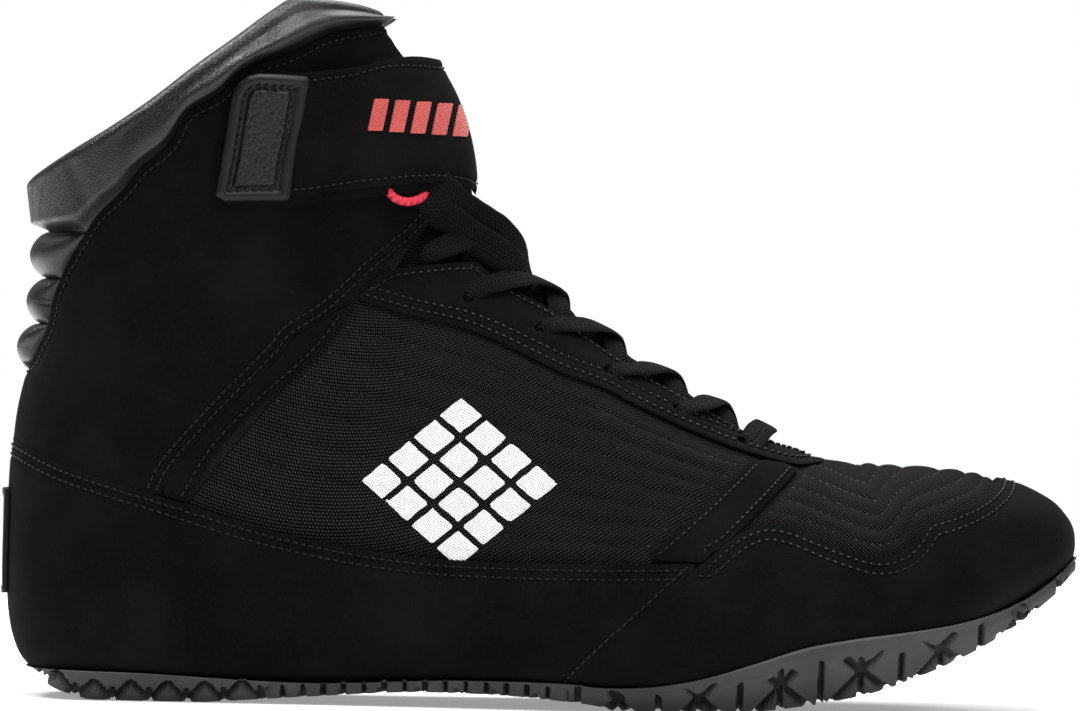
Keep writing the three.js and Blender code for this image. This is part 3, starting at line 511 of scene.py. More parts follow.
class Board:
    """The node board of one finish."""
    def __init__(self, name):
        self.material = bpy.data.materials.new(name)
        self.material.use_nodes = True
        self.tree = self.material.node_tree
        self.shader = self.tree.nodes["Principled BSDF"]

    def node(self, kind, settings=None, *inputs, out=0, **named):
        made = self.tree.nodes.new(kind)
        for key, value in (settings or {}).items():
            setattr(made, key, value)
        for key, value in list(enumerate(inputs)) + list(named.items()):
            self.feed(made.inputs[key.replace("_", " ") if isinstance(key, str) else key], value)
        return Wire(self, made.outputs[out])

    def feed(self, socket, value):
        if isinstance(value, Wire):
            self.tree.links.new(value.socket, socket)
        elif value is not None:
            socket.default_value = value

    def place(self):
        return self.node("ShaderNodeTexCoord", out="Object")

    def uv(self):
        parts = self.tree.nodes.new("ShaderNodeSeparateXYZ")
        coordinate = self.node("ShaderNodeTexCoord", out="UV")
        self.tree.links.new(coordinate.socket, parts.inputs[0])
        return Wire(self, parts.outputs[0]), Wire(self, parts.outputs[1])

    def noise(self, scale, detail=3.0, where=None, roughness=0.6):
        return self.node("ShaderNodeTexNoise", None, where or self.place(), Scale=scale,
                         Detail=detail, Roughness=roughness)

    def blend(self, amount, low, high):
        made = self.tree.nodes.new("ShaderNodeMix")
        made.data_type = "RGBA"
        self.feed(made.inputs[0], amount)
        for socket, value in ((made.inputs[6], low), (made.inputs[7], high)):
            self.feed(socket, value if isinstance(value, Wire) else (*value, 1.0))
        return Wire(self, made.outputs[2])

    def paint(self, colour, roughness, relief=None, depth=0.0003, **constants):
        self.feed(self.shader.inputs["Base Color"],
                  colour if isinstance(colour, Wire) else (*colour, 1))
        self.feed(self.shader.inputs["Roughness"], roughness)
        if relief is not None:
            bump = self.node("ShaderNodeBump", None, Height=relief, Distance=depth, Strength=1.0)
            self.feed(self.shader.inputs["Normal"], bump)
        for key, value in constants.items():
            self.shader.inputs[key.replace("_", " ")].default_value = value
        return self.material


print("a finish is drawn on a board with wires")

# %% [markdown]
# Nubuck is leather with its face brushed up: no shine, a fine nap, and a cloudy tone
# where the nap lies one way or the other.
# %% Nubuck
def nubuck():
    board = Board("nubuck")
    cloud = board.noise(38.0, 4.0)
    nap = board.noise(1500.0, 2.0)
    tone = board.blend(cloud.ramp(0.35, 0.7) * 0.6 + nap.ramp(0.4, 0.75) * 0.5,
                       (0.0016, 0.0016, 0.0017), (0.0050, 0.0049, 0.0047))
    return board.paint(tone, 0.92 - cloud * 0.12, nap + board.noise(240.0, 3.0) * 0.8, 0.00022,
                       Sheen_Weight=0.008, Sheen_Roughness=0.5, Specular_IOR_Level=0.03)


print("nubuck has a nap and no shine")

# %% [markdown]
# Collar leather is smooth and lightly glossy, with a fine pebble and stretch wrinkles.
# %% Collar leather
def collar_leather():
    board = Board("collar_leather")
    pebble = board.node("ShaderNodeTexVoronoi", {"feature": "DISTANCE_TO_EDGE"}, board.place(),
                        Scale=1400.0)
    creases = board.noise(110.0, 4.0)
    # painted shade: the tone follows the wrinkle noise that also drives the bump, so the troughs
    # are painted darker and the ridges lighter
    tone = board.blend(creases.ramp(0.3, 0.75), (0.0030, 0.0030, 0.0028), (0.0062, 0.0061, 0.0056))
    return board.paint(tone, 0.24 + board.noise(30.0, 3.0) * 0.16, pebble.ramp(0.0, 0.25) * 0.25
                       + creases * 0.9, 0.00020, Specular_IOR_Level=0.32, Coat_Weight=0.05,
                       Coat_Roughness=0.25)


print("collar leather has a pebble and a thin coat")

# %% [markdown]
# The quarters and the toe are an open woven mesh: two sets of slanted threads with small
# holes between them. The weave follows the piece's own lengths, so it is the real size.
# %% Woven mesh
def mesh_cloth(name="mesh_cloth", pitch=0.0020, low=(0.0008, 0.0007, 0.0007),
               high=(0.0440, 0.0396, 0.0385)):
    board = Board(name)
    along, across = board.uv()
    a = (along + across) * (2 * math.pi / pitch)
    b = (along - across) * (2 * math.pi / pitch)
    weave = (a.wave() * b.wave()).size() ** 0.5
    fibre = board.noise(1300.0, 2.0)
    patchy = board.noise(60.0, 2.0)
    lit = weave.ramp(0.58, 0.98) * (0.20 + fibre * 0.75) * (0.6 + patchy * 0.8)
    tone = board.blend(lit, low, high)
    return board.paint(tone, 0.75 + fibre * 0.2, weave + fibre * 0.5, 0.00045,
                       Specular_IOR_Level=0.05)


print("mesh cloth is woven along the UV map")

# %% [markdown]
# Moulded rubber is dusty and a little rough. The patch and the tread have faces of their own,
# which follow measures of the form that are kept in the UV map.
# %% Moulded rubber
def moulded_rubber(name, low, high, rough=0.55, face="plain"):
    board = Board(name)
    dust = board.noise(28.0, 5.0)
    grit = board.noise(1800.0, 2.0)
    tone = board.blend(dust.ramp(0.35, 0.75), low, high)
    relief = grit * 0.5 + board.noise(160.0, 3.0) * 0.8
    if face == "pebbled":
        # the UV map holds the distance in from the edge: only the middle is pebbled
        depth, _ = board.uv()
        cell = board.node("ShaderNodeTexVoronoi", {"feature": "SMOOTH_F1"}, board.place(),
                          Scale=900.0)
        relief = grit * 0.1 + (1 - cell) * depth.ramp(0.0036, 0.0042) * 3.0
        # the pebbled middle is lighter than the raised rim and the sewn channel, and the dust noise
        # varies the tone at random
        pebbled_middle_and_dust = depth.ramp(0.0036, 0.0042) * 0.7 + dust.ramp(0.35, 0.75) * 0.3
        tone = board.blend(pebbled_middle_and_dust, low, high)
    elif face == "tread":
        # here it holds how deep the tread is cut and how far up the wall a place is
        cut, wall = board.uv()
        # painted shade: the grooves of the tread are painted near black, darker the deeper they are
        # cut
        tone = board.blend(cut.ramp(0.1, 0.7), tone, grey(0.0022))
        # painted highlight: a thin band along the raised rim at the top of the wall is painted
        # lighter
        rim = wall.ramp(0.93, 0.97) * (1 - wall.ramp(0.985, 1.0))
        tone = board.blend(rim * 0.8, tone, (0.075, 0.075, 0.074))
    return board.paint(tone, rough + dust * 0.2, relief, 0.00020, Specular_IOR_Level=0.22)


print("rubber comes plain, pebbled or as tread")

# %% [markdown]
# Laces are woven flat: ribs run across them in a herringbone.
# %% Laces, cord and threads
def lace_weave():
    board = Board("lace_weave")
    along, across = board.uv()
    rib = ((along + across.size() * 0.8) * (2 * math.pi / 0.0011)).wave() * 0.5 + 0.5
    yarn = (across * (2 * math.pi / 0.0009)).wave() * 0.5 + 0.5
    tone = board.blend(rib * 0.6 + yarn * 0.3, (0.0015, 0.0015, 0.0016), (0.0085, 0.0083, 0.0081))
    return board.paint(tone, 0.80, rib + yarn * 0.6, 0.00040, Specular_IOR_Level=0.06)


def cord_braid():
    board = Board("cord_braid")
    along, across = board.uv()
    a = ((along * 1.0 + across * 0.0016) * (2 * math.pi / 0.0016)).wave()
    b = ((along * 1.0 - across * 0.0016) * (2 * math.pi / 0.0016)).wave()
    braid = a.maths("MAXIMUM", a, b) * 0.5 + 0.5
    tone = board.blend(braid, (0.20, 0.004, 0.012), (0.55, 0.010, 0.035))
    return board.paint(tone, 0.6, braid, 0.0003)


def satin(name, low, high, pitch=0.0007):
    """Embroidery: satin threads side by side, with a soft shine."""
    board = Board(name)
    parts = board.tree.nodes.new("ShaderNodeSeparateXYZ")
    board.tree.links.new(board.place().socket, parts.inputs[0])
    x, z = Wire(board, parts.outputs[0]), Wire(board, parts.outputs[2])
    strand = ((x * 0.5 + z) * (2 * math.pi / pitch)).wave() * 0.5 + 0.5
    tone = board.blend(strand * 0.8 + board.noise(300.0) * 0.3, low, high)
    return board.paint(tone, 0.5, strand, 0.0003, Sheen_Weight=0.2)


def plain_thread():
    board = Board("plain_thread")
    tone = board.blend(board.noise(400.0).ramp(0.4, 0.7), grey(0.0015), (0.0075, 0.0073, 0.0071))
    return board.paint(tone, 0.40, Specular_IOR_Level=0.25)


def lining_knit():
    board = Board("lining_knit")
    along, across = board.uv()
    knit = (along * (2 * math.pi / 0.0014)).wave() * (across * (2 * math.pi / 0.0010)).wave()
    tone = board.blend(knit * 0.5 + 0.5, grey(0.004), grey(0.012))
    return board.paint(tone, 0.9, knit, 0.0002, Specular_IOR_Level=0.08)


FINISHES = {
    "nubuck": nubuck(), "collar_leather": collar_leather(), "mesh_cloth": mesh_cloth(),
    "tongue_mesh": mesh_cloth("tongue_mesh", 0.0022, grey(0.001), (0.030, 0.0290, 0.0280)),
    "sole_rubber": moulded_rubber("sole_rubber", grey(0.025), (0.045, 0.045, 0.044),
                                  face="tread"),
    "patch_rubber": moulded_rubber("patch_rubber", grey(0.0018), grey(0.0046),
                                   0.42, "pebbled"),
    "label_rubber": moulded_rubber("label_rubber", grey(0.0040), grey(0.0080),
                                   0.45),
    "lace_weave": lace_weave(), "cord_braid": cord_braid(), "plain_thread": plain_thread(),
    "white_thread": satin("white_thread", (0.42, 0.42, 0.41), (0.86, 0.86, 0.85)),
    "red_thread": satin("red_thread", (0.28, 0.020, 0.016), (0.56, 0.060, 0.050)),
    "lining_knit": lining_knit(),
}
print(len(FINISHES), "finishes")

# %% [markdown]
# The throat is the opening under the laces. It follows the crest, so it is measured across
# from the crest and not in side view.
# %% The throat and the pattern tests
THROAT_START, THROAT_HALF = 0.298, 0.012


def throat(v, turn):
    half = THROAT_HALF * np.sqrt(np.clip((v - THROAT_START) / 0.03, 0.08, 1))
    across = np.abs(beside_crest(v, turn)) - half
    before = (THROAT_START - v) * 0.3
    turn = np.mod(turn, 360)
    return np.where((turn > 90) & (turn < 270), np.maximum(across, before), 0.05)


NOTCH = cut_by(curve(EYESTAY_TOP[1:]), corner(0.56, 0.60), corner(0.56, 0.76), corner(0.44, 0.76),
               curve(ANKLE_FRONT[:4]))
BELOW_COLLAR = cut_by(curve(COLLAR_EDGE) - (0, 0.004), corner(0.6, 0.9), corner(1.2, 0.9),
                      corner(1.2, -0.3), corner(-0.2, -0.3), corner(-0.2, 0.6))
GAP = 0.0003


def without(inside, *holes):
    """A test for being inside one form and outside others."""
    return lambda v, turn: np.maximum.reduce(
        [inside(v, turn)] + [-hole(v, turn) for hole in holes])


def any_of(shapes, x, z):
    """Signed distance, in side view, from the nearest of several closed shapes."""
    return np.minimum.reduce([outside(shape, x, z) for shape in shapes])


def part_of(line, low, high):
    x = (line[:, 0] - PLACE[0]) / LENGTH
    return line[(x >= low) & (x <= high)]


feather, rand_top, toe_seam = curve(FEATHER), curve(RAND_TOP), curve(TOE_SEAM)
ankle_front, leg_front = curve(ANKLE_FRONT), curve(LEG_FRONT)
cuff_seam = curve(CUFF_SEAM + HEEL_PAD_EDGE)
print("the throat is", 2 * THROAT_HALF, "m wide")

# %% [markdown]
# Stitch rows run at an even distance inside a panel's edge. The test that cuts a panel
# also tells how deep inside it a place lies, so a row is a contour of that test. The
# contour is found cell by cell on a grid over the last and joined into lines.
# %% Stitch rows and sunk seams
CONTOUR_STEPS = 260


def contour(test, level, v_span, turn_span):
    v = np.linspace(*v_span, CONTOUR_STEPS)
    turn = np.linspace(*turn_span, CONTOUR_STEPS)
    f = test(v[:, None], turn[None, :]) - level
    links = {}

    def cross(i, j, k, l):
        a, b = f[i, j], f[k, l]
        w = a / (a - b)
        return (v[i] + w * (v[k] - v[i]), turn[j] + w * (turn[l] - turn[j]))

    signs = f > 0
    mixed = (signs[:-1, :-1] != signs[1:, :-1]) | (signs[:-1, :-1] != signs[:-1, 1:]) | (
        signs[:-1, :-1] != signs[1:, 1:])
    for i, j in zip(*np.nonzero(mixed)):
        sides = [((i, j), (i + 1, j)), ((i + 1, j), (i + 1, j + 1)),
                 ((i, j + 1), (i + 1, j + 1)), ((i, j), (i, j + 1))]
        cut = [side for side in sides if signs[side[0]] != signs[side[1]]]
        for a, b in zip(cut[::2], cut[1::2]):
            links.setdefault(a, []).append(b)
            links.setdefault(b, []).append(a)
    lines, seen = [], set()
    ends = [key for key, others in links.items() if len(others) == 1]
    for first in ends + list(links):
        if first in seen:
            continue
        line, here = [], first
        while here is not None:
            seen.add(here)
            line.append(cross(*here[0], *here[1]))
            here = next((key for key in links[here] if key not in seen), None)
        if len(line) > 4:
            lines.append(np.array(line))
    return lines


def depth_rows(test, depths, height, v_span, turn_span, inside=None, margin=0.0005):
    """Stitch rows at several depths inside an edge, each with its height above the last."""
    rows = []
    for depth in depths:
        for line in contour(test, -depth, v_span, turn_span):
            ok = np.ones(len(line), bool) if inside is None else inside(*line.T) < -margin
            ends = np.flatnonzero(np.diff(ok.astype(int))) + 1
            for run in np.split(np.arange(len(line)), ends):
                if ok[run[0]] and len(run) > 6:
                    rows.append((line[run], height))
    return rows


def sew(name, rows, pitch=0.0021, length=0.0016, width=0.00062, rise=0.0007, lift=0.0003):
    """One small thread bead, copied along rows of (v, turn) points."""
    bead = start("bead", bpy.ops.mesh.primitive_uv_sphere_add, segments=6, ring_count=4, radius=0.5)
    shape = points_of(bead)
    shape = np.stack((shape[:, 2] * length, shape[:, 1] * width, shape[:, 0] * rise), -1)
    faces = [list(f.vertices) for f in bead.data.polygons]
    bpy.data.objects.remove(bead)
    points, sides, count = [], [], 0
    for line, height in rows:
        v, turn = line.T
        p = skin(v, turn, height(v, turn))
        run = np.concatenate(([0], np.cumsum(np.linalg.norm(np.diff(p, axis=0), axis=1))))
        number = int(run[-1] / pitch)
        if number < 2:
            continue
        at = (np.arange(number) + 0.5) * run[-1] / number
        v, turn = np.interp(at, run, v), np.interp(at, run, turn)
        ahead, behind = ([np.interp(at + step, run, axis) for axis in p.T]
                         for step in (0.0006, -0.0006))
        fore = unit(np.stack(ahead, -1) - np.stack(behind, -1))
        up = last_normal(v, turn)
        turned = np.stack((fore, np.cross(up, fore), up), 1)
        centre = skin(v, turn, height(v, turn) + lift)
        points.append((centre[:, None] + shape @ turned).reshape(-1, 3))
        for base in (count + np.arange(number)) * len(shape):
            sides.extend([[int(base) + q for q in face] for face in faces])
        count += number
    mesh = bpy.data.meshes.new(name)
    mesh.from_pydata(np.vstack(points).tolist(), [], sides)
    piece = bpy.data.objects.new(name, mesh)
    bpy.context.scene.collection.objects.link(piece)
    smooth_faces(piece, 60)
    print(name, count, "stitches")


def sunk(base, test, depths, sink=0.00045, width=0.0008):
    """Height of a panel that thread pulls down along its rows and that rolls over at its edge."""
    def height(v, turn):
        d = -test(v, turn)
        pull = sum(np.exp(-((d - depth) / width) ** 2) for depth in depths)
        roll = 0.0003 * np.exp(-np.maximum(d, 0) / 0.0006)
        return base - sink * pull - roll - (creases(v, turn) if base else 0)
    return height

# %% [markdown]
# The lining is the sleeve that the foot touches. It could be the solid itself, but that is
# plain and has no weave, so it is cut anew from a grid over the last: open along the throat
# and at the collar, with a real wall, and a fine knit for its finish.
# %% The upper's inner wall
cover("upper_lining", without(BELOW_COLLAR, throat, NOTCH),
      lambda v, turn: np.full(np.shape(v), -0.0002), (0.0001, 0.99), (-180, 180), 0.0018,
      cell=0.0040, edge=0)

# %% [markdown]
# The quarters and the toe are mesh over foam, quilted in rows. A cloth simulation could
# puff them, but each row has to stay where its thread is, so the puff is drawn instead: the
# height follows a rounded wave between the rows, and falls to nothing at the seams where
# the leather presses it flat. The threads are small beads copied along the rows.
# %% Mesh cloth of the quarters and the toe
TOE_PITCH = 0.0036
quarter_line = np.vstack((curve(LEG_FRONT)[::-1], part_of(curve(EYESTAY_LOW), 0.33, 0.70),
                          curve(STRIP_REAR[1:]), part_of(rand_top, 0.17, 0.59)[::-1]))
quarter_inside = cut_by(quarter_line)
toe_line = np.vstack((curve(STRIP_FRONT), corner(0.72, 0.55), corner(0.96, 0.55),
                      curve(TOE_RAND)[::-1]))
toe_inside = cut_by(toe_line)
toe_edge = line_depth(curve(TOE_RAND))


# the rows fan out between the eyestay's lower edge and the rand's top edge
stay_reach = np.vstack((corner(0.10, 0.70), corner(0.22, 0.62), curve(EYESTAY_LOW)))
ROWS = 8


def quarter_row(v, turn):
    """Counts the sewn rows up from the rand."""
    x, z = side_view(v, turn)
    foot = np.interp(x, rand_top[:, 0], rand_top[:, 1])
    head = np.interp(x, stay_reach[:, 0], stay_reach[:, 1])
    return ROWS * (z - foot) / np.maximum(head - foot, 0.004)


def quarter_height(v, turn):
    row = np.abs(np.sin(np.pi * quarter_row(v, turn))) ** 0.45
    return 0.0001 + smooth(0, 0.006, -quarter_inside(v, turn)) * (0.0002 + 0.0013 * row)


def toe_height(v, turn):
    d = -toe_edge(v, turn)
    row = np.where(d < 6.5 * TOE_PITCH, np.abs(np.sin(np.pi * d / TOE_PITCH)) ** 0.6, 1)
    return 0.0001 + smooth(0, 0.004, -toe_inside(v, turn)) * (0.0002 + 0.0010 * row)


row_lines = []
SIDES = {"outer": (20, 178), "inner": (182, 340)}
for side, span in SIDES.items():
    cover("quarter_mesh_" + side, lambda v, turn: quarter_inside(v, turn) - 0.004,
          quarter_height, (0.2, 0.62), span, 0.0006, cell=0.0008 if side == "outer" else 0.0011)
    for k in range(1, ROWS):
        row_lines += depth_rows(quarter_row, [-k], quarter_height, (0.2, 0.62), span,
                                quarter_inside, 0.001)
cover("toe_mesh", without(lambda v, turn: toe_inside(v, turn) - 0.004, throat),
                 toe_height, (0.004, 0.36), (20, 340), 0.0006, cell=0.0008)
for k in range(1, 7):
    row_lines += depth_rows(toe_edge, [k * TOE_PITCH], toe_height, (0.01, 0.36), (40, 320),
                            toe_inside, 0.001)
sew("mesh_stitches", row_lines, pitch=0.0022, length=0.0016, width=0.0005, rise=0.0005, lift=0.0001)

# %% [markdown]
# Wear folds a shoe where the foot bends it. Each crease is placed in side view, as
# shares of the last's length and height, with its depth and half width in metres; a
# negative depth is a ridge. They are soft, because thick leather has no sharp folds.
# %% Creases placed one by one
CREASES = [
    (0.300, 0.640, 0.385, 0.665, 0.0006, 0.0022), (0.250, 0.600, 0.330, 0.628, -0.0005, 0.0030),
    (0.225, 0.545, 0.300, 0.590, 0.0006, 0.0026), (0.150, 0.560, 0.215, 0.520, 0.0005, 0.0028),
    (0.110, 0.470, 0.190, 0.455, -0.0005, 0.0034), (0.070, 0.420, 0.150, 0.400, 0.0005, 0.0030),
    (0.130, 0.690, 0.185, 0.660, 0.0005, 0.0024), (0.170, 0.720, 0.200, 0.640, -0.0004, 0.0030),
    (0.250, 0.150, 0.360, 0.120, 0.0003, 0.0040), (0.400, 0.110, 0.480, 0.130, -0.0003, 0.0045),
    (0.620, 0.110, 0.700, 0.150, 0.0004, 0.0030), (0.700, 0.120, 0.780, 0.165, 0.0004, 0.0028),
    (0.775, 0.185, 0.835, 0.150, -0.0004, 0.0034), (0.845, 0.215, 0.905, 0.235, 0.0004, 0.0026),
    (0.890, 0.190, 0.950, 0.205, -0.0004, 0.0030), (0.050, 0.240, 0.130, 0.215, 0.0003, 0.0036),
]


def creases(v, turn):
    x, z = side_view(v, turn)
    total = np.zeros(np.shape(x))
    for x0, z0, x1, z1, depth, width in CREASES:
        a, b = corner(x0, z0)[0], corner(x1, z1)[0]
        edge = b - a
        f = ((x - a[0]) * edge[0] + (z - a[1]) * edge[1]) / (edge @ edge)
        sag = 0.0012 * np.sin(np.pi * np.clip(f, 0, 1))
        off = ((x - a[0]) * edge[1] - (z - a[1]) * edge[0]) / np.hypot(*edge) - sag
        total += depth * np.exp(-(off / width) ** 2) * smooth(-0.25, 0.2, f) * smooth(1.25, 0.8, f)
    return total


print(len(CREASES), "creases on each side")

# %% [markdown]
# The nubuck parts are flat hides cut to a pattern and sewn on. Each could be one more solid
# with a boolean cut, but a grid cut by the same seam lines gives clean edges and a real
# thickness, and the depth inside an edge says where the thread pulls the leather down. The
# rand comes first: one hide round heel and quarters, one round the toe.
# %% The rand
RAND, PANEL, STAY = 0.0015, 0.0011, 0.0013
SEAM_ROWS, ONE_ROW = (0.0017, 0.0040), (0.0018,)
sewing = []
rand_test = cut_by(rand_top, toe_seam[::-1], part_of(feather, -1, 0.52)[::-1] + (0, 0.0003))
rand_edge = line_depth(rand_top)
rand_height = sunk(GAP + RAND, rand_edge, SEAM_ROWS)
cover("rear_rand_made", rand_test, rand_height, (0.26, 0.86), (-150, 150), RAND, cell=0.0015)
sewing += depth_rows(rand_edge, SEAM_ROWS, rand_height, (0.26, 0.86), (-150, 150), rand_test)
toe_test = cut_by(curve(TOE_RAND), corner(1.06, 0.35), corner(1.06, 0.22),
                  part_of(feather, 0.53, 2)[::-1] + (0, 0.0003), toe_seam)
toe_rand_height = sunk(GAP + RAND, toe_edge, SEAM_ROWS)
cover("toe_rand_made", toe_test, toe_rand_height, (0.0001, 0.42), (-180, 180), RAND)
sewing += depth_rows(toe_edge, SEAM_ROWS, toe_rand_height, (0.005, 0.42), (1, 359), toe_test)
seam_back = line_depth(toe_seam)
sewing += depth_rows(seam_back, ONE_ROW, rand_height, (0.2, 0.5), (20, 340), rand_test)

# %% [markdown]
# The ankle panel is one piece round the heel. Narrow strips cover the seam along its front
# edge and the one between the quarter mesh and the toe mesh, on both sides of the shoe.
# %% The ankle panel and the strips
panel_test = without(cut_by(cuff_seam, part_of(rand_top, -1, 0.14), ankle_front[::-1],
                            corner(0.52, 0.745), corner(0.52, 0.912)), throat, NOTCH)
front_edge, cuff_edge = line_depth(ankle_front), line_depth(cuff_seam)
panel_height = sunk(GAP + PANEL,
                    lambda v, turn: np.maximum(front_edge(v, turn), cuff_edge(v, turn)),
                    SEAM_ROWS[:1])
cover("ankle_panel_made", panel_test, panel_height, (0.42, 0.99), (-180, 180), PANEL, cell=0.0015)
sewing += depth_rows(front_edge, SEAM_ROWS, panel_height, (0.42, 0.99), (20, 340), panel_test)
sewing += depth_rows(cuff_edge, ONE_ROW, panel_height, (0.6, 0.99), (-178, 178), panel_test)
flank_test = cut_by(ankle_front[48:], leg_front[::-1])
flank_edge = line_depth(leg_front)
flank_height = sunk(GAP + PANEL, flank_edge, ONE_ROW)
vamp_test = cut_by(curve(STRIP_REAR[1:]), corner(0.650, 0.193), curve(STRIP_FRONT[:3]),
                   corner(0.724, 0.330))
vamp_edge = line_depth(curve(STRIP_REAR[1:]))
vamp_front = line_depth(curve(STRIP_FRONT))
vamp_height = sunk(GAP + PANEL, vamp_edge, ONE_ROW)
for side, span in SIDES.items():
    cover("flank_" + side, flank_test, flank_height, (0.42, 0.75), span, PANEL)
    cover("vamp_" + side, vamp_test, vamp_height, (0.2, 0.45), span, PANEL)
    sewing += depth_rows(flank_edge, ONE_ROW, flank_height, (0.42, 0.75), span, flank_test)
    for edge in (vamp_edge, vamp_front):
        sewing += depth_rows(edge, ONE_ROW, vamp_height, (0.2, 0.45), span, vamp_test)

# %% [markdown]
# The eyestay runs up both sides of the throat and is joined at its foot. Its slots for the
# laces are punched out by the same kind of test that cuts its edge.
# %% The eyestay
SLOTS = [0.322, 0.356, 0.391, 0.431, 0.486]
EYELET, SLOT_HALF_WIDTH = 0.0175, 0.0015


def turn_at(v, across):
    """The turn of a line that runs at a distance across from the crest."""
    rows = section(v)
    edge = np.where(across < 0, rows[4], rows[5]) - rows[6]
    share = np.clip(np.abs(across) / WIDTH / np.abs(edge), 0, 0.98)
    turn = np.degrees(np.arcsin(share ** (rows[9] / 2)))
    return 180 + np.sign(across) * turn


slot_ends = [(skin(v + 0.0055, turn_at(v + 0.0055, side * 0.0190), 0.0),
              skin(v - 0.0010, turn_at(v - 0.0010, side * 0.0160), 0.0))
             for v in SLOTS for side in (-1, 1)]


def slots(v, turn):
    """The slots that the laces come up through, punched in the eyestay."""
    p = last_point(v, turn)
    return nearest(p.reshape(-1, 3), slot_ends).reshape(p.shape[:-1]) - SLOT_HALF_WIDTH


stay_test = without(cut_by(curve(EYESTAY_LOW), corner(0.774, 0.345), corner(0.774, 0.45),
                           corner(0.60, 0.62), curve(EYESTAY_TOP)[::-1]), throat, slots)
stay_edge = line_depth(curve(EYESTAY_LOW))
stay_top = line_depth(curve(EYESTAY_TOP))
stay_height = sunk(GAP + STAY, stay_edge, SEAM_ROWS)
cover("eyestay_made", stay_test, stay_height, (0.25, 0.62), (60, 300), STAY, cell=0.0008)
sewing += depth_rows(stay_edge, SEAM_ROWS, stay_height, (0.25, 0.62), (60, 300), stay_test)
sewing += depth_rows(stay_top, ONE_ROW, stay_height, (0.25, 0.62), (60, 300), stay_test)
sewing += depth_rows(lambda v, turn: -throat(v, turn), ONE_ROW, stay_height, (0.25, 0.62),
                     (100, 260), stay_test)

# %% [markdown]
# The tongue is thin padded mesh that lies under the laces. It is quilted across, and its
# middle rises along the crest.
# %% The tongue
def tongue_height(v, turn):
    run = cloth_grid(v, turn)[0]
    crown = (np.exp(-(beside_crest(v, turn) / 0.0075) ** 2) * smooth(0.30, 0.36, v)
             * smooth(0.78, 0.66, v))
    return -0.0030 + 0.0007 * np.abs(np.sin(np.pi * run / 0.009)) ** 0.6 + 0.0036 * crown


tongue = cover("tongue_made", without(BELOW_COLLAR, lambda v, turn: 0.025 - np.where(
    np.cos(np.radians(turn)) < 0, np.abs(beside_crest(v, turn)), 1)),
    tongue_height, (0.275, 0.985), (80, 280), 0.0032, cell=0.0018, edge=0.001)

# %% [markdown]
# The strap goes once round the ankle over the tongue, and closes with hook-and-loop under a
# moulded rubber patch. It stands off the last in front, so its height changes with the turn.
# %% The ankle strap
STRAP, STRAP_SEAM = 0.0016, 0.0019
STRAP_SPAN = (0.5, 0.97)


def strap_lift(lift):
    def height(v, turn):
        half = np.abs(np.mod(turn + 180, 360) - 180)
        return lift + 0.0017 + 0.0031 * smooth(90, 122, half)
    return height


strap_test = cut_by(curve(STRAP_TOP), curve(STRAP_LOW))
strap_edge = line_depth(curve(STRAP_TOP))
strap_foot = line_depth(curve(STRAP_LOW))


def both_edges(v, turn):
    return np.maximum(strap_edge(v, turn), strap_foot(v, turn))


def strap_height(v, turn):
    return strap_lift(STRAP)(v, turn) + sunk(0, both_edges, (STRAP_SEAM,))(v, turn)


cover("ankle_strap_made", strap_test, strap_height, STRAP_SPAN, (-180, 180), STRAP)
for edge in (strap_edge, strap_foot):
    sewing += depth_rows(edge, (STRAP_SEAM,), strap_height, STRAP_SPAN, (1, 359), strap_test)

# %% [markdown]
# The patch at the strap's end is moulded rubber with a raised rim, a sewn channel and a
# pebbled middle. How deep a place lies inside its edge goes in the UV map, for the finish.
# A thin sheet under the strap closes the gap below its edge.
# %% The patch and the rows of thread
frame_line = np.array([(-0.0868, 0.1352), (-0.0848, 0.1340), (-0.0703, 0.1347), (-0.0670, 0.1660),
                       (-0.0772, 0.1660), (-0.0797, 0.1654), (-0.0817, 0.1638),
                       (-0.0829, 0.1610)])


def patch_test(v, turn):
    return outside(frame_line, *side_view(v, turn)) - 0.0008


def patch_height(v, turn):
    d = -patch_test(v, turn)
    border = np.exp(-((d - 0.0014) / 0.0010) ** 4)
    inner = smooth(0.0036, 0.0043, d)
    return strap_lift(STRAP + 0.0010)(v, turn) + 0.0009 * border + 0.0008 * inner - 0.0003


cover("strap_patch_made", patch_test, patch_height, (0.6, 0.97), (20, 170), 0.0011, cell=0.0006,
      uv=lambda v, turn: (-patch_test(v, turn), v))
sewing += depth_rows(patch_test, (0.0030,), patch_height, (0.6, 0.97), (20, 170))
under_line = np.vstack((curve(STRAP_TOP)[4:], curve(STRAP_LOW)[:-6] - (0, 0.0024),
                        corner(0.200, 0.690), corner(0.183, 0.716), corner(0.192, 0.800)))
cover("strap_underside", cut_by(under_line), strap_lift(-0.0001), STRAP_SPAN, (1, 359), 0.0013,
      cell=0.0020)
half_rows = len(sewing) // 2
sew("thread_rows_1", sewing[:half_rows])
sew("thread_rows_2", sewing[half_rows:])

# %% [markdown]
# Both are satin stitch: threads side by side over a slightly raised form. They are thin cut
# pieces, because a colour in the cloth's own finish would lie flat. The figures are plain:
# a field of lozenges and a row of slanted blocks.
# %% White embroidery on the outer quarter and red blocks on the strap
def lozenge(x, z, a, b):
    return np.array(((x - a, z), (x, z + b), (x + a, z), (x, z - b)))


lozenges = []
for i in range(4):
    for j in range(4):
        x = -0.0215 + (i + j - 3) * 0.0068
        z = 0.0597 + (i - j) * 0.0058
        lozenges.append(lozenge(x, z, 0.0056, 0.0047))


def stitched_figure(v, turn):
    return any_of(lozenges, *side_view(v, turn))


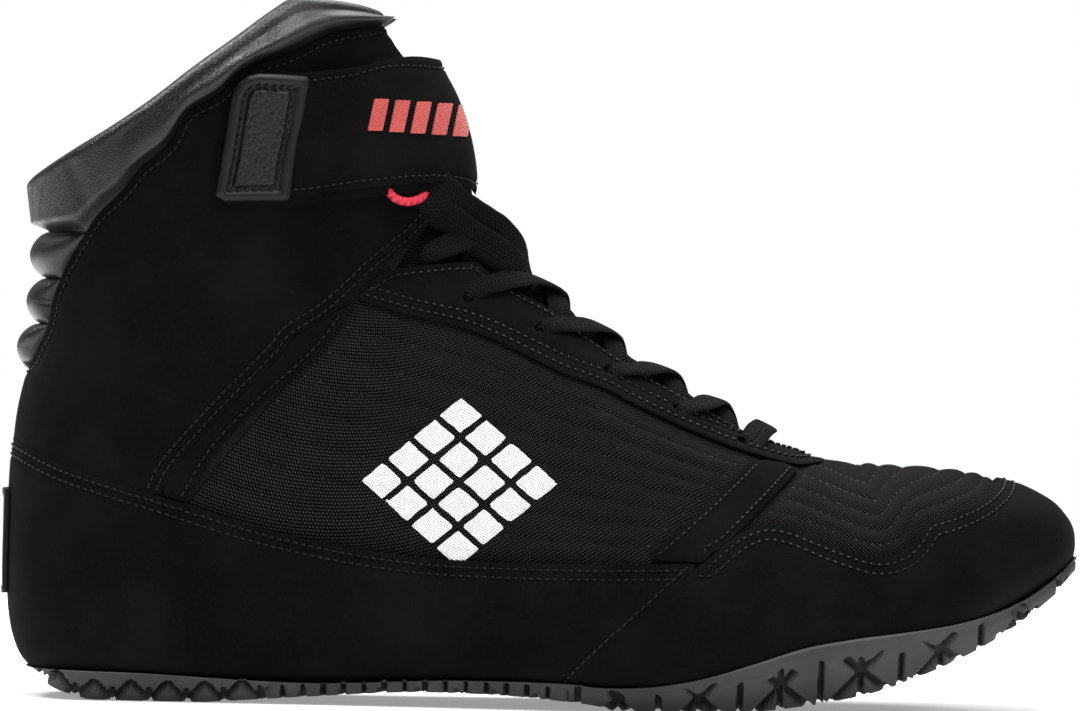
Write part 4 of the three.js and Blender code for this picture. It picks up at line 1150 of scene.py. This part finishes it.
cover("white_lozenges", stitched_figure,
      lambda v, turn: quarter_height(v, turn) * 0.4 + 0.0012 - 0.0003 * np.exp(
          stitched_figure(v, turn) / 0.0006),
      (0.25, 0.60), (40, 150), 0.0006, cell=0.00055, edge=0)
red_blocks = []
for k in range(6):
    x, z = -0.0475 + k * 0.0056, 0.1525 - k * 0.0002
    red_blocks.append(np.array(((x, z), (x + 0.0038, z), (x + 0.0054, z + 0.0085),
                                (x + 0.0016, z + 0.0085))))
red_height = strap_lift(STRAP + 0.0004)


def red_figure(v, turn):
    p = skin(v, turn, red_height(v, turn))
    return any_of(red_blocks, p[..., 0], p[..., 2])


cover("red_blocks", red_figure, red_height, (0.6, 0.9), (60, 176), 0.0005, cell=0.0005, edge=0)

# %% [markdown]
# Rolls, laces and the cord are tubes. Each starts as a flat grid that is bent round
# until its sides meet, its points merge there, and a fan of faces closes each end. The
# ribs are an open grid given a thickness.
# %% Grids bent into place
def close_ends(piece):
    """Fills each open end of a tube with a fan of its own."""
    bpy.context.tool_settings.mesh_select_mode = (False, True, False)
    edit(piece, lambda: bpy.ops.mesh.select_all(action="DESELECT"))
    mesh = piece.data
    loops = np.empty(len(mesh.loops), int)
    mesh.loops.foreach_get("edge_index", loops)
    open_edges = np.flatnonzero(np.bincount(loops, minlength=len(mesh.edges)) == 1)
    near = {}
    for number in open_edges:
        for end in mesh.edges[number].vertices:
            near.setdefault(end, []).append(number)
    left = set(int(number) for number in open_edges)
    while left:
        group, queue = set(), [left.pop()]
        while queue:
            number = queue.pop()
            group.add(number)
            for end in mesh.edges[number].vertices:
                for other in near[end]:
                    if other in left:
                        left.discard(other)
                        queue.append(other)
        choice = np.zeros(len(mesh.edges), bool)
        choice[list(group)] = True
        mesh.edges.foreach_set("select", choice)
        edit(piece, lambda: bpy.ops.mesh.fill(), lambda: bpy.ops.mesh.select_all(action="DESELECT"))
    edit(piece, lambda: bpy.ops.mesh.select_all(action="SELECT"),
         lambda: bpy.ops.mesh.normals_make_consistent(inside=False))


def grid_piece(name, along, across, place, uv, thickness=0.0, merge=False):
    """A grid whose points are put in place by place(s, t), with s and t from 0 to 1."""
    piece = start(name, bpy.ops.mesh.primitive_grid_add, size=2, x_subdivisions=along,
                  y_subdivisions=across)
    s, t, _ = (points_of(piece).T + 1) / 2
    keep_uv(piece, *uv(s, t))
    place_points(piece, place(s, t))
    if merge:
        merge_points(piece, 1e-5)
        close_ends(piece)
    thicken(piece, thickness, 0, -1)
    smooth_faces(piece, 40)
    return piece


print("closed tubes and dishes start from a flat grid")

# %% [markdown]
# The collar is a roll of foam under smooth leather that runs round the ankle, over the edge
# and some way down inside. It could be swept along a curve, but its width changes all the
# way round, so it is a grid bent round both edges and closed into a tube. Its few wrinkles
# are placed one by one.
# %% The padded collar
RIB_HIGH, RIB_LOW = 0.652, 0.450
seam_z = RIB_HIGH * HEIGHT + PLACE[2]
cuff_part = cuff_seam[cuff_seam[:, 1] > seam_z]
ABOVE_SEAM = cut_by(cuff_part, corner(0.06, RIB_HIGH), corner(-0.2, RIB_HIGH), corner(-0.2, 1.3),
                    corner(0.7, 1.3), corner(0.7, 0.85))
ABOVE_EDGE = cut_by(curve(COLLAR_EDGE), corner(0.7, 0.85), corner(0.7, 1.3), corner(-0.2, 1.3),
                    corner(-0.2, 0.69))


def crossing(test, turn, v0, v1):
    """The first place along the last, for each turn, where a test turns negative."""
    v = np.linspace(v0, v1, 260)
    depth = test(v[None, :], turn[:, None])
    first = np.argmax(depth < 0, axis=1)
    first = np.where(first == 0, np.where(depth[:, 0] < 0, 0, len(v) - 1), first)
    before = np.maximum(first - 1, 0)
    rows = np.arange(len(turn))
    above = depth[rows, before]
    drop = above - depth[rows, first]
    f = np.where(drop > 1e-12, above / np.maximum(drop, 1e-12), 0)
    return v[before] + np.clip(f, 0, 1) * (v[first] - v[before])


def soften(row, width=3):
    kernel = np.ones(2 * width + 1) / (2 * width + 1)
    return np.convolve(np.pad(row, width, mode="edge"), kernel, mode="valid")


collar_turns = np.linspace(-1, 1, 301) * turn_at(np.full(301, 0.93), -0.0123)
edge_v = soften(crossing(ABOVE_EDGE, collar_turns, 0.6, 1.0), 2)
seam_v = soften(np.minimum(crossing(ABOVE_SEAM, collar_turns, 0.6, 0.99), edge_v - 0.01), 2)
PAD_DEPTH, PAD_ROLL = 0.005, 0.0037
# wrinkles across the collar, the same on both sides: turn, lean, depth and half width
WRINKLES = [(side * turn, side * lean, 0.6 * depth, wide) for turn, lean, depth, wide in (
    (8, 22, 0.0008, 3.0), (20, 30, 0.0006, 2.4), (33, 26, 0.0007, 3.4), (47, -20, 0.0005, 3.0),
    (62, 24, 0.0006, 4.0), (84, -16, 0.0005, 4.4), (108, 20, 0.0006, 4.0),
    (128, -14, 0.0004, 3.5)) for side in (1, -1)]


def collar_place(s, t):
    turn = np.interp(s * 2 - 1, np.linspace(-1, 1, 301), collar_turns)
    top = np.interp(turn, collar_turns, edge_v)
    low = np.interp(turn, collar_turns, seam_v)
    per_v = np.linalg.norm(last_point(top, turn) - last_point(top - 0.02, turn), axis=-1) / 0.02
    behind = 1 - smooth(0.06, 0.25, (last_point(top, turn)[:, 0] - PLACE[0]) / LENGTH)
    puff_out = 0.0024 + 0.0028 * behind
    bulge = 0.0028 * (1 - behind)
    roll = (puff_out + PAD_DEPTH) / 2
    ledge = top - 0.85 * PAD_ROLL / per_v
    deep = top - 0.030 / per_v
    # five stretches: outside, roll, inside, up behind the lining, over the wall and down
    v = np.select(
        [t < 0.40, t < 0.62, t < 0.82, t < 0.88, t < 0.92],
        [low + (ledge - low) * t / 0.40,
         ledge + (top - ledge) * np.sin(np.pi * np.clip((t - 0.40) / 0.22, 0, 1)),
         ledge + (deep - ledge) * np.clip((t - 0.62) / 0.20, 0, 1),
         deep + (top - 0.0043 / per_v - deep) * np.clip((t - 0.82) / 0.06, 0, 1),
         top - 0.0043 / per_v],
        top - 0.0043 / per_v + (low - top + 0.0043 / per_v) * np.clip((t - 0.92) / 0.08, 0, 1))
    rise = smooth(0, 0.10, t)
    height = np.select(
        [t < 0.40, t < 0.62, t < 0.82, t < 0.88, t < 0.92],
        [0.0004 + (puff_out - 0.0004) * rise + bulge * np.sin(np.pi * t / 0.40) ** 2,
         (puff_out - PAD_DEPTH) / 2 + roll * np.cos(np.pi * np.clip((t - 0.40) / 0.22, 0, 1)),
         -PAD_DEPTH + 0 * t,
         -0.0023 + 0 * t,
         -0.0023 + 0.0025 * np.clip((t - 0.88) / 0.04, 0, 1)],
        0.0002 + 0.0002 * smooth(0.97, 1.0, t))
    for where, lean, depth, wide in WRINKLES:
        off = turn - where - lean * (t - 0.2)
        height -= depth * np.exp(-(off / wide) ** 2) * smooth(0.02, 0.10, t) * smooth(0.46, 0.36, t)
    return skin(v, turn, height)


collar = grid_piece("collar_leather", 300, 64, collar_place, lambda s, t: (s * 0.22, t * 0.06),
                    merge=True)

# %% [markdown]
# Three stuffed ribs of the same leather bend with the heel. They are one grid, swollen
# between the seams that cross it and pinched at its sides.
# %% The padded ribs behind the heel cord
RIBS = 3
pad_edge = curve(HEEL_PAD_EDGE)[::-1]


def at_height(turn, z):
    low, high = np.full(np.shape(z), 0.6), np.full(np.shape(z), 1.0)
    for _ in range(22):
        v = (low + high) / 2
        under = last_point(v, turn)[..., 2] < z
        low, high = np.where(under, v, low), np.where(under, high, v)
    return low


def rib_place(s, t):
    z = (RIB_LOW + (RIB_HIGH - RIB_LOW) * t) * HEIGHT + PLACE[2]
    x_edge = np.interp(z, pad_edge[:, 1], pad_edge[:, 0])
    reach = np.full(np.shape(z), 30.0)
    for step in (24, 12, 6, 3, 1.5, 0.75, 0.4, 0.2):
        x = last_point(at_height(reach, z), reach)[:, 0]
        reach = np.where(x < x_edge, reach + step, reach - step)
    reach = np.clip(reach, 6, 70)
    side = s * 2 - 1
    turn = side * reach
    v = at_height(turn, z)
    swell = np.abs(np.sin(np.pi * t * RIBS)) ** 0.62
    close = (1 - np.abs(side) ** 5) ** 0.5
    height = 0.0005 + 0.0047 * swell * close + 0.0004 * close
    return skin(v, turn, height)


ribs = grid_piece("rib_leather", 110, 72, rib_place, lambda s, t: (s * 0.07, t * 0.04),
                  thickness=0.0004)

# %% [markdown]
# The sole is one rubber moulding: a low wall round the foot, cut into lugs. Cutting every
# groove with a boolean would be slow and fragile, so a fine grid wraps the wall and the
# tread, and each point moves in by the depth of the groove that it lies in. Forward the
# lugs are split by uprights and slants, in the arch by short notches and at the heel they
# are blocks. The groove's depth goes in the UV map too, for painted shade in the grooves,
# and so does the height up the wall, for a painted highlight along the rim at its top.
# %% The outsole
FLAT = -0.02568
ground_line = np.vstack((
    curve(GROUND), corner(0.692, FLAT), corner(0.572, FLAT), curve(ARCH), corner(0.185, FLAT),
    corner(0.090, FLAT), curve(HEEL_BEVEL)))[::-1]


def ground_at(x):
    return np.interp(x, ground_line[:, 0], ground_line[:, 1])


def feather_at(x):
    return np.interp(x, feather[:, 0], feather[:, 1])


def sole_blank(v, turn):
    half = np.abs(np.mod(turn + 180, 360) - 180)
    under = smooth(0.02, 0.12, v) * (1 - smooth(0.585, 0.635, v))
    return 0.0022 + 0.0043 * under * (1 - smooth(25, 58, half))


def sole_place(s, t):
    v = 0.0005 + s * 0.70
    half = np.abs(t * 2 - 1)
    # more rows on the walls than underneath
    turn = np.where(half < 0.30, half / 0.30 * 38, 38 + (half - 0.30) / 0.70 * 60)
    turn = turn * np.sign(t - 0.5)
    return v, turn


LUG, HEEL_LUG, ARCH_LUG, CUT = 0.0107, 0.0098, 0.0054, 0.0019


def groove(distance, half, soft=0.00035):
    return smooth(half + soft, half - soft * 0.4, np.abs(distance))


def sole_cut(p, wall):
    """How deep the side of the sole is cut between its lugs."""
    x, low = p[:, 0], ground_at(p[:, 0])
    tall = feather_at(x) - low
    up = p[:, 2] - low
    k = np.floor(x / LUG)
    across = x - k * LUG
    across = np.where(k % 2 == 0, across, LUG - across)
    arm = (np.abs(up - 0.42 * tall) - 0.95 * across) / 1.38
    forefoot = np.maximum(groove(np.minimum(across, LUG - across), 0.0006), groove(arm, 0.0008))
    block = smooth(0.0, 0.0012, 0.68 * tall - up + 0.0009 * np.sin(x * 700))
    k = np.floor(x / HEEL_LUG)
    across = x - k * HEEL_LUG
    slope = (up - 0.0052 * np.abs(across / HEEL_LUG * 2 - 1)) / 1.3
    heel = np.maximum(groove(slope, 0.0007), groove(across - HEEL_LUG / 2, 0.0005)
                      * smooth(0.0040, 0.0030, up))
    across = np.abs(np.mod(x, ARCH_LUG) - ARCH_LUG / 2)
    arch = groove(across, 0.0004) * smooth(0.0036, 0.0026, up)
    front, back = smooth(0.000, 0.014, x), smooth(-0.066, -0.078, x)
    cut = front * forefoot * block + back * heel * smooth(0.0060, 0.0046, up)
    cut = np.maximum(cut, (1 - front) * (1 - back) * arch)
    band = 0.0004 * smooth(0.60, 0.70, wall) * smooth(0.99, 0.93, wall) * front
    rim = -0.00035 * smooth(0.93, 0.97, wall)
    return CUT * cut * smooth(0.98, 0.85, wall) + band + rim


def tread_cut(p):
    """How far the tread is cut up from the ground: slanted slots both ways."""
    x, y = p[:, 0], p[:, 1]
    zig = np.abs(np.mod(y / 0.018, 2) - 1) * 0.006
    slot = groove(np.mod(x + zig, LUG) - LUG / 2, 0.0008)
    return 0.0014 * slot


def above_feather(p):
    return p[:, 2] - feather_at(p[:, 0])


def snap_to_feather(v, turn):
    """Moves places on the sole's skin onto the line where the upper begins."""
    for _ in range(6):
        high = sole_blank(v, turn)
        here, by_t = skin(v, turn, high), skin(v, turn + 0.1, high)
        by_v = skin(v + 1e-3, turn, high)
        f = above_feather(here)
        scale_t = np.maximum(np.linalg.norm(by_t - here, axis=1) / 0.1, 1e-4)
        scale_v = np.maximum(np.linalg.norm(by_v - here, axis=1) / 1e-3, 0.02)
        slope_t = (above_feather(by_t) - f) / 0.1 / scale_t
        slope_v = (above_feather(by_v) - f) / 1e-3 / scale_v
        move = np.clip(f / np.maximum(slope_t ** 2 + slope_v ** 2, 0.1), -0.0015, 0.0015)
        turn = turn - move * slope_t / scale_t
        v = np.clip(v - move * slope_v / scale_v, 3e-4, 0.9)
    return v, turn


sole = start("outsole_rubber", bpy.ops.mesh.primitive_grid_add, size=2, x_subdivisions=780,
             y_subdivisions=104)
v, turn = sole_place(*(points_of(sole).T[:2] + 1) / 2)
kept, rim = trim(sole, above_feather(skin(v, turn, sole_blank(v, turn))))
v, turn = v[kept], turn[kept]
v[rim], turn[rim] = snap_to_feather(v[rim], turn[rim])
blank = skin(v, turn, sole_blank(v, turn))
ground_z = ground_at(blank[:, 0])
wall = (blank[:, 2] - ground_z) / np.maximum(feather_at(blank[:, 0]) - ground_z, 1e-4)
wall = np.clip(wall, 0, 1)
side_cut, under_cut = sole_cut(blank, wall), tread_cut(blank)
p = skin(v, turn, sole_blank(v, turn) - side_cut)
p[:, 2] = np.maximum(p[:, 2], ground_z + under_cut)
# the UV map holds the groove depth, for painted shade in the grooves, and the height up the wall,
# for a painted highlight on the rim
keep_uv(sole, np.maximum(side_cut, under_cut * (wall < 0.05)) / CUT, wall)
place_points(sole, p)
merge_points(sole, 1e-5)
close_ends(sole)
smooth_faces(sole, 32)

# %% [markdown]
# A small plain rubber label is sewn up the back of the heel, with a thin raised rim.
# %% The heel label
LABEL = [(-0.10, 0.125), (0.08, 0.125), (0.08, 0.276), (-0.10, 0.276)]
label_line = np.array(LABEL) * (LENGTH, HEIGHT) + PLACE[[0, 2]]


def label_test(v, turn):
    aside = np.abs(last_point(v, turn)[..., 1] - PLACE[1]) - 0.009
    return np.maximum(outside(label_line, *side_view(v, turn)), aside)


def label_height(v, turn):
    d = -label_test(v, turn)
    return 0.0028 + 0.0004 * smooth(0.0024, 0.0014, d) + 0.0002


cover("label_rubber", label_test, label_height, (0.6, 0.8), (-80, 80), 0.0013, cell=0.0006)

# %% [markdown]
# A lace is a flat tube of yarn. Each is a strip led over the instep by a few points,
# given as a place along the last, a distance across from the crest and a height above
# the last. It comes up out of a slot in the eyestay, crosses the throat and goes under
# the far edge.
# %% Laces
def spline(points, count):
    p = np.array(points, float)
    p = np.vstack((2 * p[0] - p[1], p, 2 * p[-1] - p[-2]))
    at = np.linspace(0, len(p) - 3, count)
    i = np.minimum(at.astype(int), len(p) - 4)
    f = (at - i)[:, None]
    a, b, c, d = p[i], p[i + 1], p[i + 2], p[i + 3]
    return 0.5 * (2 * b + (c - a) * f + (2 * a - 5 * b + 4 * c - d) * f * f
                  + (3 * b - a - 3 * c + d) * f ** 3)


def ribbon(name, route, width, thick, steps=64, around=14, roll=(0.0,), boxy=3.0, widen=None):
    """A flat or round tube led along points of (v, across, height)."""
    line = spline(route, steps + 1)
    turn = turn_at(line[:, 0], line[:, 1])
    centre = skin(line[:, 0], turn, line[:, 2])
    up = last_normal(line[:, 0], turn)
    fore = unit(np.gradient(centre, axis=0))
    side = unit(np.cross(up, fore))
    up = np.cross(fore, side)
    length = np.concatenate(([0], np.cumsum(np.linalg.norm(np.diff(centre, axis=0), axis=1))))
    lean = np.radians(np.interp(np.linspace(0, 1, steps + 1), np.linspace(0, 1, len(roll)), roll))

    def place(s, t):
        i = np.round(s * steps).astype(int)
        angle = 2 * np.pi * t
        c, q = np.cos(angle), np.sin(angle)
        a = np.sign(c) * np.abs(c) ** (2 / boxy) * width / 2
        b = np.sign(q) * np.abs(q) ** (2 / boxy) * thick / 2
        if widen is not None:
            a = a * np.interp(s, *widen)
        ca, sa = np.cos(lean[i]), np.sin(lean[i])
        return centre[i] + side[i] * (a * ca - b * sa)[:, None] + up[i] * (a * sa + b * ca)[:, None]

    def uv(s, t):
        return np.interp(s, np.linspace(0, 1, steps + 1), length), np.cos(2 * np.pi * t) * width / 2

    return grid_piece(name, steps, around, place, uv, merge=True)


LACE_WIDE, LACE_THICK = 0.0068, 0.0014
SPREAD = ([0.0, 0.12, 0.35, 1.0], [0.45, 0.80, 1.05, 1.0])
CROSSINGS = [0.3155, 0.342, 0.368, 0.399, 0.433]
TOP_ROW, TOP_CROSSING = 0.560, 0.508


def lace_route(start, crest, side, extra):
    """Up from a slot, over the crest and down under the far edge of the eyestay."""
    step = start - crest
    return [(start + 0.0045, side * (EYELET + 0.0018), -0.0010),
            (start + 0.0015, side * EYELET, 0.0014),
            (crest + step * 0.60, side * 0.0130, 0.0025 + extra * 0.3),
            (crest + step * 0.30, side * 0.0075, 0.0026 + extra * 0.7),
            (crest, 0.0, 0.0021 + extra),
            (crest - 0.006, -side * 0.0065, 0.0010 + extra * 0.5),
            (crest - 0.010, -side * 0.0105, -0.0008), (crest - 0.011, -side * 0.0135, -0.0026)]


starts, crests = SLOTS[1:] + [TOP_ROW], CROSSINGS[1:] + [TOP_CROSSING]
for row, (start_v, crest_v) in enumerate(zip(starts, crests), 1):
    for side, extra, tag in ((-1, 0.0011, "upper"), (1, 0.0, "lower")):
        route = lace_route(start_v, crest_v, side, extra)
        ribbon(f"lace_{row}_{tag}", route, LACE_WIDE, LACE_THICK,
               roll=(6 * side, 14 * side, 0), widen=SPREAD)
bar = SLOTS[0]
ribbon("lace_bar_woven", [(bar + 0.004, -0.0192, -0.0010), (bar, -EYELET, 0.0012),
                          (bar - 0.003, -0.010, 0.0028), (bar - 0.006, 0.0, 0.0036),
                          (bar - 0.003, 0.010, 0.0028), (bar, EYELET, 0.0012),
                          (bar + 0.004, 0.0192, -0.0010)], LACE_WIDE, LACE_THICK)

# %% [markdown]
# Above the top row the two ends of the lace run up under the strap as one thick, slack
# bundle, the flat of each lace turned to the side.
# %% The two ends of the lace
LACE_ENDS = {
    "outer": [(0.735, -0.0170, 0.0004), (0.705, -0.0163, 0.0018), (0.672, -0.0154, 0.0042),
              (0.634, -0.0134, 0.0055), (0.595, -0.0112, 0.0056), (0.555, -0.0085, 0.0058),
              (0.520, -0.0055, 0.0062), (0.492, -0.0030, 0.0066), (0.466, -0.0020, 0.0060),
              (0.452, 0.0010, 0.0036), (0.447, 0.0050, -0.0005)],
    "inner": [(0.735, -0.0190, 0.0000), (0.705, -0.0182, 0.0010), (0.679, -0.0174, 0.0026),
              (0.630, -0.0154, 0.0034), (0.590, -0.0135, 0.0035), (0.556, -0.0117, 0.0036),
              (0.5065, -0.0088, 0.0038), (0.468, -0.0062, 0.0036), (0.452, -0.0030, 0.0020),
              (0.446, 0.0010, -0.0010)],
}
for tag, route in LACE_ENDS.items():
    ribbon("lace_end_" + tag, route, 0.0092, 0.0026, steps=96,
           roll=(3, 8, 30, 50, 58, 60, 58, 44, 10), boxy=2.6)

# %% [markdown]
# A loop of red braided cord shows under the strap's lower edge. It is a round tube along a
# few points, closed at both ends, which lie hidden under the strap.
# %% The red cord loop under the strap
LOOP = [(0.735, 139.0, 0.0020), (0.722, 140.0, 0.0036), (0.7075, 141.5, 0.0044),
        (0.6905, 144.5, 0.0046), (0.6790, 147.5, 0.0044), (0.6730, 150.5, 0.0040),
        (0.6750, 154.5, 0.0020)]
CORD_RADIUS = 0.0012
loop_points = spline([skin(v, turn, height) for v, turn, height in LOOP], 61)


def loop_place(s, t):
    i = np.round(s * 60).astype(int)
    fore = unit(np.gradient(loop_points, axis=0))
    side = unit(np.cross(fore, (0.0, -1.0, 0.3)))
    up = np.cross(side, fore)
    angle = 2 * np.pi * t[:, None]
    return loop_points[i] + CORD_RADIUS * (side[i] * np.cos(angle) + up[i] * np.sin(angle))


grid_piece("loop_cord", 60, 12, loop_place, lambda s, t: (s * 0.016, t), merge=True)

# %% [markdown]
# The footbed is seen through the collar. It is a shallow dish over the last's bottom with a
# knitted face.
# %% The footbed inside
def footbed_place(s, t):
    v = 0.08 + s * 0.53
    turn = (t * 2 - 1) * 52
    p = skin(v, turn, -0.0024)
    p[:, 2] += 0.0044 * (1 - np.abs(t * 2 - 1) ** 6)
    return p


grid_piece("footbed", 64, 24, footbed_place, lambda s, t: (s * 0.26, t * 0.08), thickness=0.0020)

# %% [markdown]
# The photograph looks straight at the outer side from far off, so a long lens is used.
# %% The camera, the light and the floor
FAR, VIEW_WIDE, TILT = 2.5, 0.2896, 1.07
cam_data = bpy.data.cameras.new("camera")
cam = bpy.data.objects.new("camera", cam_data)
bpy.context.scene.collection.objects.link(cam)
bpy.context.scene.camera = cam
cam_data.sensor_width = 36.0
cam_data.lens = cam_data.sensor_width * FAR / VIEW_WIDE
aim = Vector((-0.0009, 0.0, 0.0934))
cam.location = aim + Vector((0, -FAR, 0.03))
cam.rotation_mode = "QUATERNION"
cam.rotation_quaternion = ((aim - cam.location).to_track_quat("-Z", "Y")
                           @ Quaternion((0, 0, 1), math.radians(TILT)))

floor = start("floor", bpy.ops.mesh.primitive_plane_add, size=3.2, location=(0, 0, 0))
white = bpy.data.materials.new("floor")
white.use_nodes = True
paint = white.node_tree.nodes["Principled BSDF"].inputs
paint["Base Color"].default_value = (0.9, 0.9, 0.9, 1)
paint["Emission Color"].default_value = (1, 1, 1, 1)
paint["Emission Strength"].default_value = 0.30
floor.data.materials.append(white)

bpy.context.scene.view_settings.view_transform = "Standard"
world = bpy.data.worlds.new("studio")
bpy.context.scene.world = world
world.use_nodes = True
tree = world.node_tree
tree.nodes["Background"].inputs[0].default_value = (1, 1, 1, 1)
tree.nodes["Background"].inputs[1].default_value = 0.25
seen = tree.nodes.new("ShaderNodeBackground")
seen.inputs[0].default_value = (1, 1, 1, 1)
seen.inputs[1].default_value = 1.0
share = tree.nodes.new("ShaderNodeMixShader")
path = tree.nodes.new("ShaderNodeLightPath")
tree.links.new(path.outputs["Is Camera Ray"], share.inputs[0])
tree.links.new(tree.nodes["Background"].outputs[0], share.inputs[1])
tree.links.new(seen.outputs[0], share.inputs[2])
tree.links.new(share.outputs[0], tree.nodes["World Output"].inputs[0])
for place, power, size in [((0.05, -0.45, 1.5), 36, 1.0), ((-0.78, 0.30, 1.20), 15, 0.5),
                           ((0.9, -1.0, 1.0), 7, 0.5), ((0.2, 1.0, 1.3), 12, 0.8)]:
    light = bpy.data.lights.new("softbox", "AREA")
    light.energy, light.size = power, size
    lamp = bpy.data.objects.new("softbox", light)
    bpy.context.scene.collection.objects.link(lamp)
    lamp.location = place
    lamp.rotation_mode = "QUATERNION"
    lamp.rotation_quaternion = (Vector((0, 0, 0.08)) - Vector(place)).to_track_quat("-Z", "Y")
print("the camera sees", VIEW_WIDE, "m across from", FAR, "m away")

# %% [markdown]
# The shoe has one body, so every piece rides on it. A piece that stands for a solid hides
# it, and takes its finish from the table of looks, which also lists a slot beside each
# finish.
# %% Each piece rides on the shoe and replaces its solid
STANDS_FOR = {
    "upper_lining": "upper", "rear_rand_made": "rear_rand", "toe_rand_made": "toe_rand",
    "ankle_panel_made": "ankle_panel", "eyestay_made": "eyestay", "tongue_made": "tongue",
    "ankle_strap_made": "ankle_strap", "strap_patch_made": "strap_patch",
    "flank_outer": "flank_strip_outer", "flank_inner": "flank_strip_inner",
    "vamp_outer": "vamp_strip_outer", "vamp_inner": "vamp_strip_inner",
    "collar_leather": "collar_pad", "rib_leather": "heel_ribs", "outsole_rubber": "outsole",
    "label_rubber": "heel_label", "loop_cord": "lace_loop", "lace_bar_woven": "lace_bar",
    "footbed": "insole",
    **{f"lace_{row}_upper": f"lace_cross_{row}" for row in range(1, 6)},
}
LOOKS = {
    "upper_lining": ("lining_knit", "upper_mesh"), "quarter_mesh": ("mesh_cloth", "upper_mesh"),
    "toe_mesh": ("mesh_cloth", "upper_mesh"), "tongue": ("tongue_mesh", "upper_mesh"),
    "collar": ("collar_leather", "collar_leather"), "rib": ("collar_leather", "collar_leather"),
    "outsole": ("sole_rubber", "sole_rubber"), "label": ("label_rubber", "trim_rubber"),
    "strap_patch": ("patch_rubber", "trim_rubber"), "lace": ("lace_weave", "lace"),
    "loop": ("cord_braid", "red_cord"), "footbed": ("lining_knit", "insole_foam"),
    "mesh_stitches": ("plain_thread", "upper_mesh"), "thread_rows": ("plain_thread", "nubuck"),
    "white": ("white_thread", "upper_mesh"), "red": ("red_thread", "nubuck"),
}
made = [piece for piece in bpy.context.scene.objects
        if piece.type == "MESH" and piece.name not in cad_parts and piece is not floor]
for piece in made:
    look, slot = next((value for key, value in LOOKS.items() if piece.name.startswith(key)),
                      ("nubuck", "nubuck"))
    piece.data.materials.clear()
    piece.data.materials.append(FINISHES[look])
    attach(piece, "root")
    if piece.name in STANDS_FOR:
        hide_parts(STANDS_FOR[piece.name])

print(len(made), "pieces ride on the shoe")
